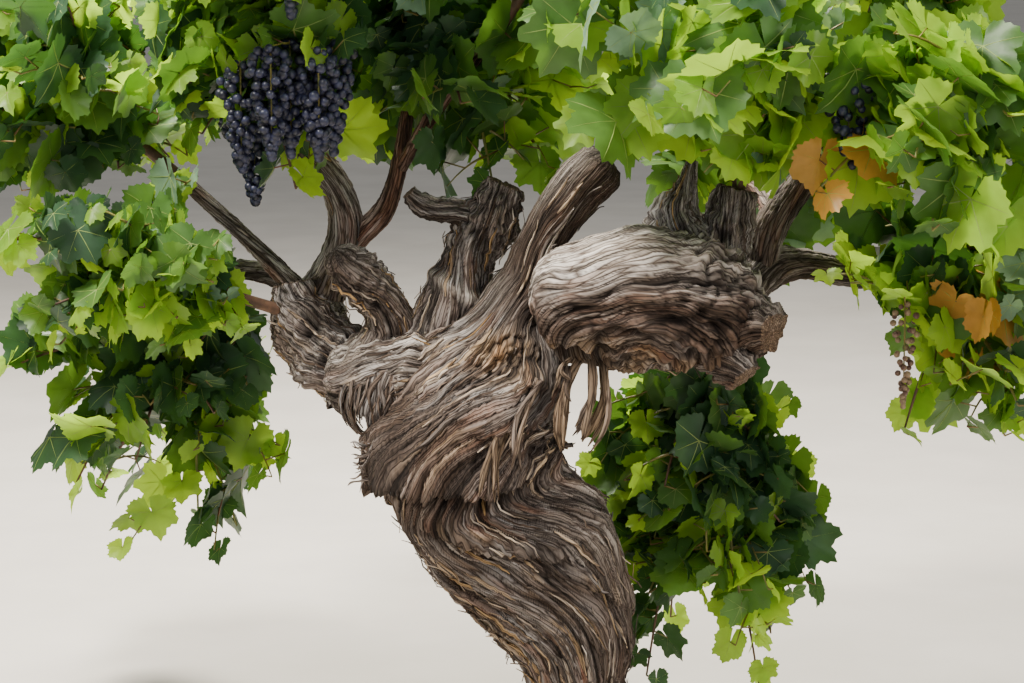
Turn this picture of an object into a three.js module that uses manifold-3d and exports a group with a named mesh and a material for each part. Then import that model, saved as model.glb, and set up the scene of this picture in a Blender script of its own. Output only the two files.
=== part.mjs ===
// An old head-trained grapevine: a leaning, twisted trunk, swollen arms and sawn stubs, and a leafy crown.
// Millimetres, +Z up. The origin is the middle of the flat cut where the trunk meets level ground.
// +X runs to the viewer's right and +Y away from the viewer.
import * as THREE from "three";
import { mergeVertices } from "three/addons/utils/BufferGeometryUtils.js";
import Module from "manifold-3d";

const wasm = await Module();
wasm.setup();

// Driving sizes
const HEAD_HEIGHT = 590; // where the trunk forks
const TRUNK_RADIUS = 126; // at its widest, under the fork
const WAIST_RADIUS = 64; // at its narrowest, a hand above the ground
const FOOT_RADIUS = 95; // at the flat cut, with the root flare
const LEAF_SIZE = 168; // across the lobes: larger than life, because there are fewer
const LEAF_THICK = 4.5;
const SHOOT_RADIUS = 4.4; // where a shoot leaves its stem
const SHOOT_TIP_RADIUS = 3;
const CLEARANCE = 0.3; // between neighbouring nodes
const GROUND_CLEAR = 14; // the lowest that a leaf hangs above the ground
const CELL_GAP = 1.2; // between the spaces of two masses of foliage
const BUNCH_LENGTH = 150;
const BUNCH_RADIUS = 38;
const GRAIN_TURN = 2.2; // how far the grain winds round a limb from end to end, in radians
const FLARE_SHARE = 0.22; // of the trunk's length that the root flare takes
const FLARE_LOBES = 5;
const FLARE_DEPTH = 0.16; // of the trunk's radius

const COLOURS = {
  bark: { color: 0x776657, roughness: 0.95 },
  leaf: { color: 0x4f7a22, roughness: 0.6 },
};

// Limbs. Each path is a few stations [x, y, z, radius], from the end that is sunk in its parent to the tip.
const LIMBS = [
  {
    name: "trunk",
    sides: 18,
    rings: 18,
    path: [
      [2, 0, -60, FOOT_RADIUS * 1.15],
      [-3, 0, 0, FOOT_RADIUS],
      [-14, 0, 50, 72],
      [-22, 0, 100, WAIST_RADIUS],
      [-28, 0, 160, 81],
      [-54, 0, 228, 102],
      [-98, 0, 296, 112],
      [-146, -5, 370, 121],
      [-170, -10, 440, TRUNK_RADIUS],
      [-163, -10, 510, 106],
      [-132, -5, HEAD_HEIGHT, 68],
    ],
    lump: 0.07,
    flare: true,
  },
  {
    name: "leader_stub",
    sides: 10,
    rings: 8,
    path: [
      [-136, 4, 560, 62],
      [-110, 5, 628, 50],
      [-86, 10, 676, 39],
      [-73, 10, 724, 32],
      [-50, 5, 768, 33],
      [-17, 0, 812, 35],
      [10, 0, 836, 34],
    ],
    lump: 0.06,
  },
  {
    name: "burl",
    sides: 14,
    rings: 11,
    path: [
      [-74, -50, 645, 34],
      [-63, -53, 649, 62],
      [-38, -61, 655, 80],
      [8, -74, 664, 91],
      [70, -85, 668, 94],
      [132, -80, 656, 88],
      [186, -66, 638, 71],
      [222, -56, 620, 46],
    ],
    lump: 0.08,
    round: true,
  },
  {
    name: "burl_knob_outer",
    sides: 8,
    rings: 3,
    path: [
      [186, -82, 640, 42],
      [224, -112, 632, 36],
      [240, -128, 626, 27],
    ],
    lump: 0.1,
  },
  {
    name: "burl_knob_lower",
    sides: 8,
    rings: 3,
    path: [
      [156, -72, 614, 44],
      [182, -98, 588, 37],
      [204, -114, 562, 25],
    ],
    lump: 0.1,
  },
  {
    name: "spike_spur",
    sides: 8,
    rings: 6,
    path: [
      [117, -42, 735, 40],
      [116, -40, 782, 34],
      [125, -38, 803, 17],
      [137, -34, 850, 4],
    ],
    lump: 0.14,
  },
  {
    name: "upper_stub",
    sides: 8,
    rings: 4,
    path: [
      [165, -32, 680, 46],
      [178, -30, 732, 36],
      [192, -28, 778, 30],
      [200, -26, 808, 25],
    ],
    lump: 0.1,
  },
  {
    name: "left_arm",
    sides: 12,
    rings: 6,
    path: [
      [-190, 8, 500, 62],
      [-241, 20, 530, 63],
      [-290, 32, 537, 61],
      [-345, 50, 532, 50],
    ],
    lump: 0.08,
    round: true,
  },
  {
    name: "left_head",
    sides: 10,
    rings: 6,
    path: [
      [-335, 62, 515, 40],
      [-368, 85, 556, 53],
      [-396, 100, 593, 53],
      [-414, 115, 627, 50],
      [-421, 120, 656, 38],
    ],
    lump: 0.12,
    round: true,
  },
  {
    name: "left_spur",
    sides: 8,
    rings: 8,
    path: [
      [-312, 40, 560, 40],
      [-284, 40, 603, 33],
      [-291, 35, 639, 30],
      [-315, 29, 668, 33],
      [-338, 21, 693, 36],
      [-350, 16, 708, 25],
    ],
    lump: 0.1,
    round: true,
  },
  {
    name: "left_upright",
    sides: 8,
    rings: 9,
    path: [
      [-396, 128, 625, 36],
      [-366, 135, 683, 28],
      [-352, 140, 740, 24],
      [-366, 140, 795, 22],
      [-430, 140, 874, 20],
      [-464, 140, 909, 17],
    ],
    lump: 0.05,
  },
  {
    name: "left_fork",
    sides: 6,
    rings: 7,
    path: [
      [-356, 140, 700, 18],
      [-328, 145, 729, 17],
      [-297, 150, 760, 16],
      [-279, 155, 804, 13],
      [-262, 165, 900, 10],
    ],
    lump: 0.05,
  },
  {
    name: "middle_bough",
    sides: 10,
    rings: 8,
    path: [
      [-228, 38, 545, 56],
      [-202, 50, 612, 50],
      [-183, 60, 664, 40],
      [-168, 62, 714, 37],
      [-146, 62, 755, 39],
      [-128, 60, 790, 33],
      [-121, 60, 806, 26],
    ],
    lump: 0.07,
  },
  {
    name: "middle_spur",
    sides: 7,
    rings: 5,
    path: [
      [-150, 60, 748, 26],
      [-190, 52, 768, 16],
      [-222, 44, 774, 18],
      [-242, 38, 783, 19],
      [-256, 35, 797, 11],
    ],
    lump: 0.1,
  },
  {
    name: "right_arm",
    sides: 6,
    rings: 7,
    path: [
      [190, 0, 648, 38],
      [246, 60, 688, 32],
      [299, 90, 690, 21],
      [374, 120, 672, 17],
      [511, 170, 641, 13],
    ],
    lump: 0.06,
  },
  {
    name: "right_upper_arm",
    sides: 7,
    rings: 7,
    path: [
      [232, 48, 690, 28],
      [253, 60, 745, 26],
      [296, 75, 805, 20],
      [345, 80, 868, 17],
      [442, 70, 913, 15],
    ],
    lump: 0.06,
  },
  {
    name: "far_left_arm",
    sides: 6,
    rings: 5,
    path: [
      [-412, 125, 640, 17],
      [-480, 175, 700, 12],
      [-590, 190, 800, 10],
    ],
    lump: 0.05,
  },
  {
    name: "left_back_arm",
    sides: 6,
    rings: 5,
    path: [
      [-400, 120, 610, 26],
      [-450, 220, 650, 18],
      [-520, 300, 655, 13],
    ],
    lump: 0.05,
  },
  {
    name: "lower_back_arm",
    sides: 6,
    rings: 5,
    path: [
      [80, -20, 640, 30],
      [110, 55, 610, 20],
      [140, 120, 560, 13],
    ],
    lump: 0.05,
  },
  {
    name: "left_high_arm",
    sides: 5,
    rings: 5,
    path: [
      [-398, 140, 838, 15],
      [-400, 125, 910, 12],
      [-408, 105, 1000, 10],
    ],
    lump: 0.04,
  },
  {
    name: "middle_high_arm",
    sides: 5,
    rings: 6,
    path: [
      [-276, 156, 815, 10],
      [-225, 130, 900, 10],
      [-140, 100, 1010, 9],
    ],
    lump: 0.04,
  },
  {
    name: "right_high_arm",
    sides: 5,
    rings: 5,
    path: [
      [335, 80, 855, 14],
      [360, 66, 930, 11],
      [380, 50, 1005, 9],
    ],
    lump: 0.04,
  },
  {
    name: "far_right_arm",
    sides: 5,
    rings: 5,
    path: [
      [380, 78, 888, 13],
      [500, 20, 850, 11],
      [600, -10, 820, 10],
    ],
    lump: 0.04,
  },
  {
    name: "back_left_arm",
    sides: 5,
    rings: 5,
    path: [
      [-360, 140, 780, 16],
      [-395, 250, 850, 12],
      [-420, 345, 925, 9],
    ],
    lump: 0.04,
  },
  {
    name: "back_right_arm",
    sides: 5,
    rings: 5,
    path: [
      [262, 62, 758, 18],
      [250, 190, 785, 13],
      [215, 300, 800, 10],
    ],
    lump: 0.04,
  },
];

// Masses of foliage: the bough that each grows from, its middle, and how far it reaches each way.
// at is a share of the bough's length, and 1 is its tip.
const MASSES = [
  { name: "foliage_left_top", bough: "left_upright", at: 1, centre: [-470, 100, 990], reach: [260, 250, 230] },
  { name: "foliage_far_left", bough: "far_left_arm", at: 1, centre: [-745, 130, 930], reach: [240, 260, 270] },
  { name: "foliage_left_droop", bough: "left_head", at: 0.62, centre: [-630, -20, 700], reach: [250, 170, 150] },
  { name: "foliage_left_hanging", bough: "left_back_arm", at: 1, centre: [-650, 320, 450], reach: [270, 240, 290] },
  { name: "foliage_middle", bough: "left_fork", at: 1, centre: [-160, 220, 985], reach: [270, 310, 235] },
  { name: "foliage_centre_front", bough: "upper_stub", at: 1, centre: [150, -110, 985], reach: [250, 240, 180] },
  { name: "foliage_right_front", bough: "right_upper_arm", at: 1, centre: [440, -140, 920], reach: [250, 270, 230] },
  { name: "foliage_right_side", bough: "right_arm", at: 1, centre: [500, 70, 600], reach: [250, 240, 220] },
  { name: "foliage_far_right", bough: "far_right_arm", at: 1, centre: [740, -30, 790], reach: [240, 280, 280] },
  { name: "foliage_low_right", bough: "lower_back_arm", at: 1, centre: [168, 190, 290], reach: [195, 185, 370] },
  { name: "foliage_crown_left", bough: "left_high_arm", at: 1, centre: [-430, 40, 1195], reach: [340, 310, 225] },
  { name: "foliage_crown_middle", bough: "middle_high_arm", at: 1, centre: [-20, 50, 1225], reach: [330, 330, 230] },
  { name: "foliage_crown_right", bough: "right_high_arm", at: 1, centre: [410, 0, 1180], reach: [330, 320, 225] },
  { name: "foliage_back_left", bough: "back_left_arm", at: 1, centre: [-470, 450, 990], reach: [300, 230, 230] },
  { name: "foliage_back_right", bough: "back_right_arm", at: 1, centre: [270, 420, 870], reach: [280, 240, 270] },
];
const BARREN = ["foliage_low_right", "foliage_left_droop", "foliage_centre_front"]; // these bear no fruit
const SHOOTS = 6; // to each mass
const SHOOT_STEPS = 2;
const SHOOT_SHARE = 0.8; // of the way to the edge of the mass
const END_STEP = 10;
const LEAF_SPACING = 54; // along a shoot
const STEM_RADIUS = 10;
const STEM_TIP_RADIUS = 9;
const STEM_STEPS = 2;
const STEM_BARE = 0.5; // the share of a stem that bears no shoots
const LEAF_TRIES = 6;
const LEAF_SHRINK = 0.93; // from one try at fitting a leaf in to the next
const LEAF_JITTER = 0.9; // how unevenly leaves face
const ARCH = 0.16; // how far a shoot rises over its chord, as a share of its length
const GOLDEN_TURN = Math.PI * (3 - Math.sqrt(5));

const vec = (p) => new THREE.Vector3(p[0], p[1], p[2]);
const UP = new THREE.Vector3(0, 0, 1);
const CROWN_CENTRE = new THREE.Vector3(-20, 100, 850);

// A seeded stream of numbers from 0 to 1, with the same rule in any language.
function seeded(seed) {
  let state = seed >>> 0;
  return () => {
    state = (Math.imul(state, 1664525) + 1013904223) >>> 0;
    return state / 4294967296;
  };
}

// Vertices and triangles as a manifold solid.
function solidFrom(positions, triangles) {
  return new wasm.Manifold(
    new wasm.Mesh({
      numProp: 3,
      vertProperties: new Float32Array(positions.flat()),
      triVerts: new Uint32Array(triangles.flat()),
    }),
  );
}

// A three.js geometry as a manifold solid.
function solidOfGeometry(geometry) {
  const bare = geometry.clone();
  bare.deleteAttribute("normal");
  bare.deleteAttribute("uv");
  const merged = mergeVertices(bare, 1e-3);
  return new wasm.Manifold(
    new wasm.Mesh({
      numProp: 3,
      vertProperties: merged.attributes.position.array,
      triVerts: new Uint32Array(merged.index.array),
    }),
  );
}

// The largest closed body of a solid: loose scraps and sealed hollows are dropped.
function largest(solid) {
  return solid
    .decompose()
    .sort((a, b) => b.volume() - a.volume())[0];
}

function meshOf(name, solid, look) {
  const made = solid.getMesh();
  const geometry = new THREE.BufferGeometry();
  geometry.setAttribute("position", new THREE.BufferAttribute(made.vertProperties, 3));
  geometry.setIndex(new THREE.BufferAttribute(made.triVerts, 1));
  geometry.computeVertexNormals();
  const mesh = new THREE.Mesh(
    geometry,
    new THREE.MeshStandardMaterial({ ...look, metalness: 0 }),
  );
  mesh.name = name;
  return mesh;
}

// The radius of a limb at share t of its path.
function radiusAt(path, t) {
  const place = t * (path.length - 1);
  const i = Math.min(Math.floor(place), path.length - 2);
  return THREE.MathUtils.lerp(path[i][3], path[i + 1][3], place - i);
}

// A closed tube round rings of points, with a flat fan at each end.
function tube(rings) {
  const sides = rings[0].length;
  const positions = rings.flat();
  const triangles = [];
  for (let i = 0; i + 1 < rings.length; i++)
    for (let k = 0; k < sides; k++) {
      const a = i * sides + k;
      const b = i * sides + ((k + 1) % sides);
      triangles.push([a, b, b + sides], [a, b + sides, a + sides]);
    }
  const last = (rings.length - 1) * sides;
  for (let k = 1; k + 1 < sides; k++) {
    triangles.push([0, k + 1, k]);
    triangles.push([last, last + k, last + k + 1]);
  }
  return solidFrom(positions, triangles);
}

// How far a limb's surface swells at an angle and a share of its length: slow lobes that turn with the grain.
function swelling(limb, angle, run, phase) {
  const grain = angle + GRAIN_TURN * run + phase;
  const lobes = 0.6 * Math.sin(3 * grain) + 0.5 * Math.sin(2 * grain - 9 * run);
  const rings = 0.4 * Math.sin(17 * run + phase);
  const flare = limb.flare ? Math.max(0, 1 - run / FLARE_SHARE) * Math.cos(FLARE_LOBES * angle) : 0;
  return 1 + limb.lump * (lobes + rings) + FLARE_DEPTH * flare;
}

const curves = new Map();
for (const limb of LIMBS)
  curves.set(limb.name, new THREE.CatmullRomCurve3(limb.path.map(vec), false, "centripetal"));

// A limb as a solid, with its skin moved out by grow.
function limbSolid(limb, grow) {
  const curve = curves.get(limb.name);
  const frames = curve.computeFrenetFrames(limb.rings, false);
  const phase = limb.name.length * 1.7;
  const rings = [];
  const addRing = (i, along, share) => {
    const run = i / limb.rings; // a share of the length, and t is the same place as a share of the stations
    const t = curve.getUtoTmapping(run);
    const centre = curve.getPoint(t).addScaledVector(frames.tangents[i], along);
    const ring = [];
    for (let k = 0; k < limb.sides; k++) {
      const angle = (2 * Math.PI * k) / limb.sides;
      const r = radiusAt(limb.path, t) * swelling(limb, angle, run, phase) * share + grow;
      const p = centre
        .clone()
        .addScaledVector(frames.normals[i], r * Math.cos(angle))
        .addScaledVector(frames.binormals[i], r * Math.sin(angle));
      ring.push([p.x, p.y, p.z]);
    }
    rings.push(ring);
  };
  for (let i = 0; i <= limb.rings; i++) addRing(i, i === 0 ? -grow : 0, 1);
  const tip = limb.path.at(-1)[3];
  if (limb.round) {
    addRing(limb.rings, tip * 0.35, 0.78);
    addRing(limb.rings, tip * 0.5 + grow, 0.4);
  } else if (grow > 0) {
    addRing(limb.rings, grow, 1);
  }
  return tube(rings);
}

// The trunk ends in a flat cut at ground level.
function cutAtGround(solid) {
  const deep = 400;
  const box = new THREE.BoxGeometry(deep * 2, deep * 2, deep);
  box.translate(0, 0, -deep / 2);
  return solid.subtract(solidOfGeometry(box));
}

const limbSolids = new Map();
const grownSolids = new Map();
for (const limb of LIMBS) {
  let solid = limbSolid(limb, 0);
  if (limb.name === "trunk") solid = cutAtGround(solid);
  for (const grown of grownSolids.values()) solid = solid.subtract(grown);
  limbSolids.set(limb.name, largest(solid));
  grownSolids.set(limb.name, limbSolid(limb, CLEARANCE));
}

const bezier = (a, b, c, t) =>
  new THREE.Vector3()
    .addScaledVector(a, (1 - t) * (1 - t))
    .addScaledVector(b, 2 * t * (1 - t))
    .addScaledVector(c, t * t);

// A mass's stem runs from inside its bough to the middle of the mass.
function stemOf(mass) {
  const curve = curves.get(mass.bough);
  const start = curve.getPoint(mass.at);
  const centre = vec(mass.centre);
  if (mass.at === 1) start.addScaledVector(curve.getTangent(1), -STEM_RADIUS);
  const leaving = mass.at === 1 ? curve.getTangent(1) : centre.clone().sub(start).normalize();
  const bend = start.clone().addScaledVector(leaving, start.distanceTo(centre) * 0.45);
  return (t) => bezier(start, bend, centre, t);
}

// True where a point lies in a mass's own space: over the ground, within its reach, nearest to its own middle.
function inSpace(mass, p) {
  if (p.z < GROUND_CLEAR) return false;
  const centre = vec(mass.centre);
  const share = p.clone().sub(centre).divide(vec(mass.reach));
  if (share.lengthSq() > 1) return false;
  return MASSES.every((other) => {
    if (other === mass) return true;
    const across = vec(other.centre).sub(centre);
    const half = across.length() / 2 - CELL_GAP / 2;
    return p.clone().sub(centre).dot(across.normalize()) < half;
  });
}

// Any two directions square to a direction.
function squareTo(direction) {
  const side = new THREE.Vector3().crossVectors(direction, UP);
  if (side.lengthSq() < 1e-4) side.set(1, 0, 0);
  side.normalize();
  return [side, new THREE.Vector3().crossVectors(side, direction).normalize()];
}

// A three-sided twig through points.
function twig(points, startRadius, endRadius) {
  const rings = points.map((p, i) => {
    const ahead = points[Math.min(i + 1, points.length - 1)];
    const behind = points[Math.max(i - 1, 0)];
    const [side, over] = squareTo(ahead.clone().sub(behind).normalize());
    const r = THREE.MathUtils.lerp(startRadius, endRadius, i / (points.length - 1));
    return [0, 1, 2].map((k) => {
      const angle = (2 * Math.PI * k) / 3;
      const q = p
        .clone()
        .addScaledVector(side, -r * Math.cos(angle))
        .addScaledVector(over, r * Math.sin(angle));
      return [q.x, q.y, q.z];
    });
  });
  return tube(rings);
}

// A leaf's heel, side lobe, tip and side lobe as shares of its size: across, along and down from its root.
const LEAF_OUTLINE = [
  [0, -0.01, 0],
  [0.5, 0.36, 0.1],
  [0, 0.98, 0.14],
  [-0.5, 0.36, 0.1],
];
const LEAF_THICKEST = 0.14; // how far along its midrib a leaf is thickest

// A leaf's corners, and last the top of its thickness.
function leafCorners(root, tipWay, face, size) {
  const across = new THREE.Vector3().crossVectors(tipWay, face);
  const place = (x, y, z) =>
    root
      .clone()
      .addScaledVector(across, x)
      .addScaledVector(tipWay, y)
      .addScaledVector(face, z);
  return [
    ...LEAF_OUTLINE.map(([x, y, down]) => place(x * size, y * size, -down * size)),
    place(0, LEAF_THICKEST * size, LEAF_THICK),
  ];
}

function leafSolid(corners) {
  const triangles = [
    [0, 1, 4],
    [1, 2, 4],
    [2, 3, 4],
    [3, 0, 4],
    [0, 2, 1],
    [0, 3, 2],
  ];
  return solidFrom(corners.map((p) => [p.x, p.y, p.z]), triangles);
}

// A bunch of grapes: a lumpy cone that hangs from its top.
function bunchSolid(top, length, radius) {
  const rings = [
    [0, 0.12],
    [0.14, 0.8],
    [0.4, 1],
    [0.75, 0.62],
    [1, 0.16],
  ];
  return tube(
    rings.map(([down, share], i) =>
      [0, 1, 2, 3, 4].map((k) => {
        const angle = (2 * Math.PI * (k + (i % 2) * 0.5)) / 5;
        return [
          top.x + radius * share * Math.cos(angle),
          top.y - radius * share * Math.sin(angle),
          top.z - down * length,
        ];
      }),
    ),
  );
}

// Which way a leaf faces and hangs at a place on a shoot: outward and to the sky, with its tip down.
function leafWays(p, side, random) {
  const out = p.clone().sub(CROWN_CENTRE);
  out.z *= 0.3;
  out.normalize();
  const jitter = () => (random() - 0.5) * LEAF_JITTER;
  const face = new THREE.Vector3(jitter(), jitter(), jitter())
    .addScaledVector(out, 0.8)
    .addScaledVector(UP, 0.5)
    .normalize();
  const tipWay = new THREE.Vector3(0, 0, -0.8)
    .addScaledVector(side, 0.65)
    .addScaledVector(out, 0.2);
  tipWay.addScaledVector(face, -tipWay.dot(face)).normalize();
  return [face, tipWay];
}

// True where a piece meets none of the others.
const clearOf = (piece, others) => others.every((other) => piece.intersect(other).isEmpty());

// The far end of a shoot: out from the middle of the mass, most of the way to where its space ends.
function shootEnd(mass, turn, height) {
  const centre = vec(mass.centre);
  const level = Math.sqrt(1 - height * height);
  const way = new THREE.Vector3(level * Math.cos(turn), level * Math.sin(turn), height);
  let reach = 0;
  while (inSpace(mass, centre.clone().addScaledVector(way, reach + END_STEP))) reach += END_STEP;
  return centre.addScaledVector(way, reach * SHOOT_SHARE);
}

// One shoot, as long as it can be without meeting anything.
function growShoot(mass, order, random, keepOut) {
  const height = 1 - (2 * (order + 0.5)) / SHOOTS;
  const end = shootEnd(mass, order * GOLDEN_TURN + random(), height);
  const from = mass.stem(STEM_BARE + (1 - STEM_BARE) * random());
  const bend = from.clone().lerp(end, 0.5);
  bend.z += ARCH * from.distanceTo(end);
  for (let reached = 1; reached > 0.4; reached -= 0.15) {
    const path = (t) => bezier(from, bend, end, t * reached);
    const points = [];
    for (let i = 0; i <= SHOOT_STEPS; i++) points.push(path(i / SHOOT_STEPS));
    const solid = twig(points, SHOOT_RADIUS, SHOOT_TIP_RADIUS);
    const inside = points.slice(1).every((p) => inSpace(mass, p));
    if (inside && clearOf(solid, keepOut)) return { path, solid, run: from.distanceTo(end) * reached };
  }
  return null;
}

// One leaf at a place on a shoot, turned this way and that until it meets nothing.
function growLeaf(mass, shoot, t, hand, random, others) {
  const p = shoot.path(t);
  const along = shoot.path(t).sub(shoot.path(t - 0.04)).normalize();
  const [side] = squareTo(along);
  side.multiplyScalar(hand);
  const size = LEAF_SIZE * (0.8 + 0.3 * random());
  for (let tries = 0; tries < LEAF_TRIES; tries++) {
    const [face, tipWay] = leafWays(p, side, random);
    const corners = leafCorners(p, tipWay, face, size * LEAF_SHRINK ** tries);
    if (!corners.every((q) => inSpace(mass, q))) continue;
    const leaf = leafSolid(corners);
    if (clearOf(leaf, others)) return leaf;
  }
  return null;
}

// The first bunch that hangs clear of everything, or none.
function growBunch(mass, shoots, others) {
  for (const shoot of shoots) {
    const top = shoot.path(0.35);
    const bunch = bunchSolid(top, BUNCH_LENGTH, BUNCH_RADIUS);
    const foot = top.clone().addScaledVector(UP, -BUNCH_LENGTH);
    if (inSpace(mass, foot) && clearOf(bunch, others)) return bunch;
  }
  return null;
}

// One mass of foliage: a stem, shoots that fan out from it by a seeded rule, and leaves and fruit along them.
function massSolid(mass) {
  const random = seeded(1000 + MASSES.indexOf(mass) * 77);
  const stems = MASSES.filter((other) => other !== mass).map((other) => other.keepOut);
  const keepOut = [wood, ...stems];
  const shoots = [];
  for (let order = 0; order < SHOOTS; order++) {
    const shoot = growShoot(mass, order, random, keepOut);
    if (shoot) shoots.push(shoot);
  }
  const twigs = shoots.reduce((whole, shoot) => whole.add(shoot.solid), mass.solid);
  const bunch = BARREN.includes(mass.name) ? null : growBunch(mass, shoots, keepOut);
  const loose = bunch ? [bunch] : [];
  for (const shoot of shoots) {
    const rest = shoots
      .filter((other) => other !== shoot)
      .reduce((whole, other) => whole.add(other.solid), mass.solid);
    const count = Math.max(2, Math.round(shoot.run / LEAF_SPACING));
    for (let n = 0; n < count; n++) {
      const t = 1 - (n * 0.8) / count;
      const leaf = growLeaf(mass, shoot, t, n % 2 ? 1 : -1, random, [...keepOut, rest, ...loose]);
      if (leaf) loose.push(leaf);
    }
  }
  const fused = loose.reduce((whole, piece) => whole.add(piece), twigs);
  return largest(fused);
}

// The limbs' keep-out as one solid, and each mass's stem, cut clear of them.
const wood = [...grownSolids.values()].reduce((whole, grown) => whole.add(grown));
for (const mass of MASSES) {
  mass.stem = stemOf(mass);
  const points = [];
  for (let i = 0; i <= STEM_STEPS; i++) points.push(mass.stem(i / STEM_STEPS));
  mass.solid = largest(twig(points, STEM_RADIUS, STEM_TIP_RADIUS).subtract(wood));
  mass.keepOut = twig(points, STEM_RADIUS + 2, STEM_TIP_RADIUS + 2);
}

const grapevine = new THREE.Group();
for (const limb of LIMBS) grapevine.add(meshOf(limb.name, limbSolids.get(limb.name), COLOURS.bark));
for (const mass of MASSES) grapevine.add(meshOf(mass.name, massSolid(mass), COLOURS.leaf));

export default grapevine;
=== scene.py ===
"""The looks of an old head-trained grapevine: shredded bark, peeling strips, shoots, leaves and grapes.

Sizes are millimetres in the plant's own frame, and become metres where a mesh is made. +Z is up, +X is to
the viewer's right and +Y is away from the viewer.
"""

import itertools
import math

import bmesh
import bpy
import numpy as np
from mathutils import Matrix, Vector


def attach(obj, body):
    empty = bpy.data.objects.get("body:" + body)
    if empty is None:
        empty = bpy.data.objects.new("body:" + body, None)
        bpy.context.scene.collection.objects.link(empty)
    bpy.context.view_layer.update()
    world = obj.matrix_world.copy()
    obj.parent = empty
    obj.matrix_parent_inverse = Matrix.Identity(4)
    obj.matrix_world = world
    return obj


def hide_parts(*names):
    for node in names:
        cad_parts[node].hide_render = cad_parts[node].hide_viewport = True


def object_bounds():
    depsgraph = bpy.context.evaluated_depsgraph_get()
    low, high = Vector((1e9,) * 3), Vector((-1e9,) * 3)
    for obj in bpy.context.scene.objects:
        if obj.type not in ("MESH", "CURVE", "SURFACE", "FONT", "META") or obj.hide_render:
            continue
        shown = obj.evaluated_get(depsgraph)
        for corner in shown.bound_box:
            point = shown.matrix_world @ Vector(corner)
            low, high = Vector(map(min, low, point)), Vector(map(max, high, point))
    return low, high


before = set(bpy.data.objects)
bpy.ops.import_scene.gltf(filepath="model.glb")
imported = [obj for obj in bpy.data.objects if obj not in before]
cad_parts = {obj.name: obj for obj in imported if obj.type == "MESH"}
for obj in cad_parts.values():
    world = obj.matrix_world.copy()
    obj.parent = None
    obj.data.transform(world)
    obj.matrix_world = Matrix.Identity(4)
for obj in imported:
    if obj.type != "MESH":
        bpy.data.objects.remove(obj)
cad_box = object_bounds()

MM = 0.001
TAU = 2 * math.pi
UP = np.array([0.0, 0.0, 1.0])
FRONT = np.array([0.0, -1.0, 0.0])

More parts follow.
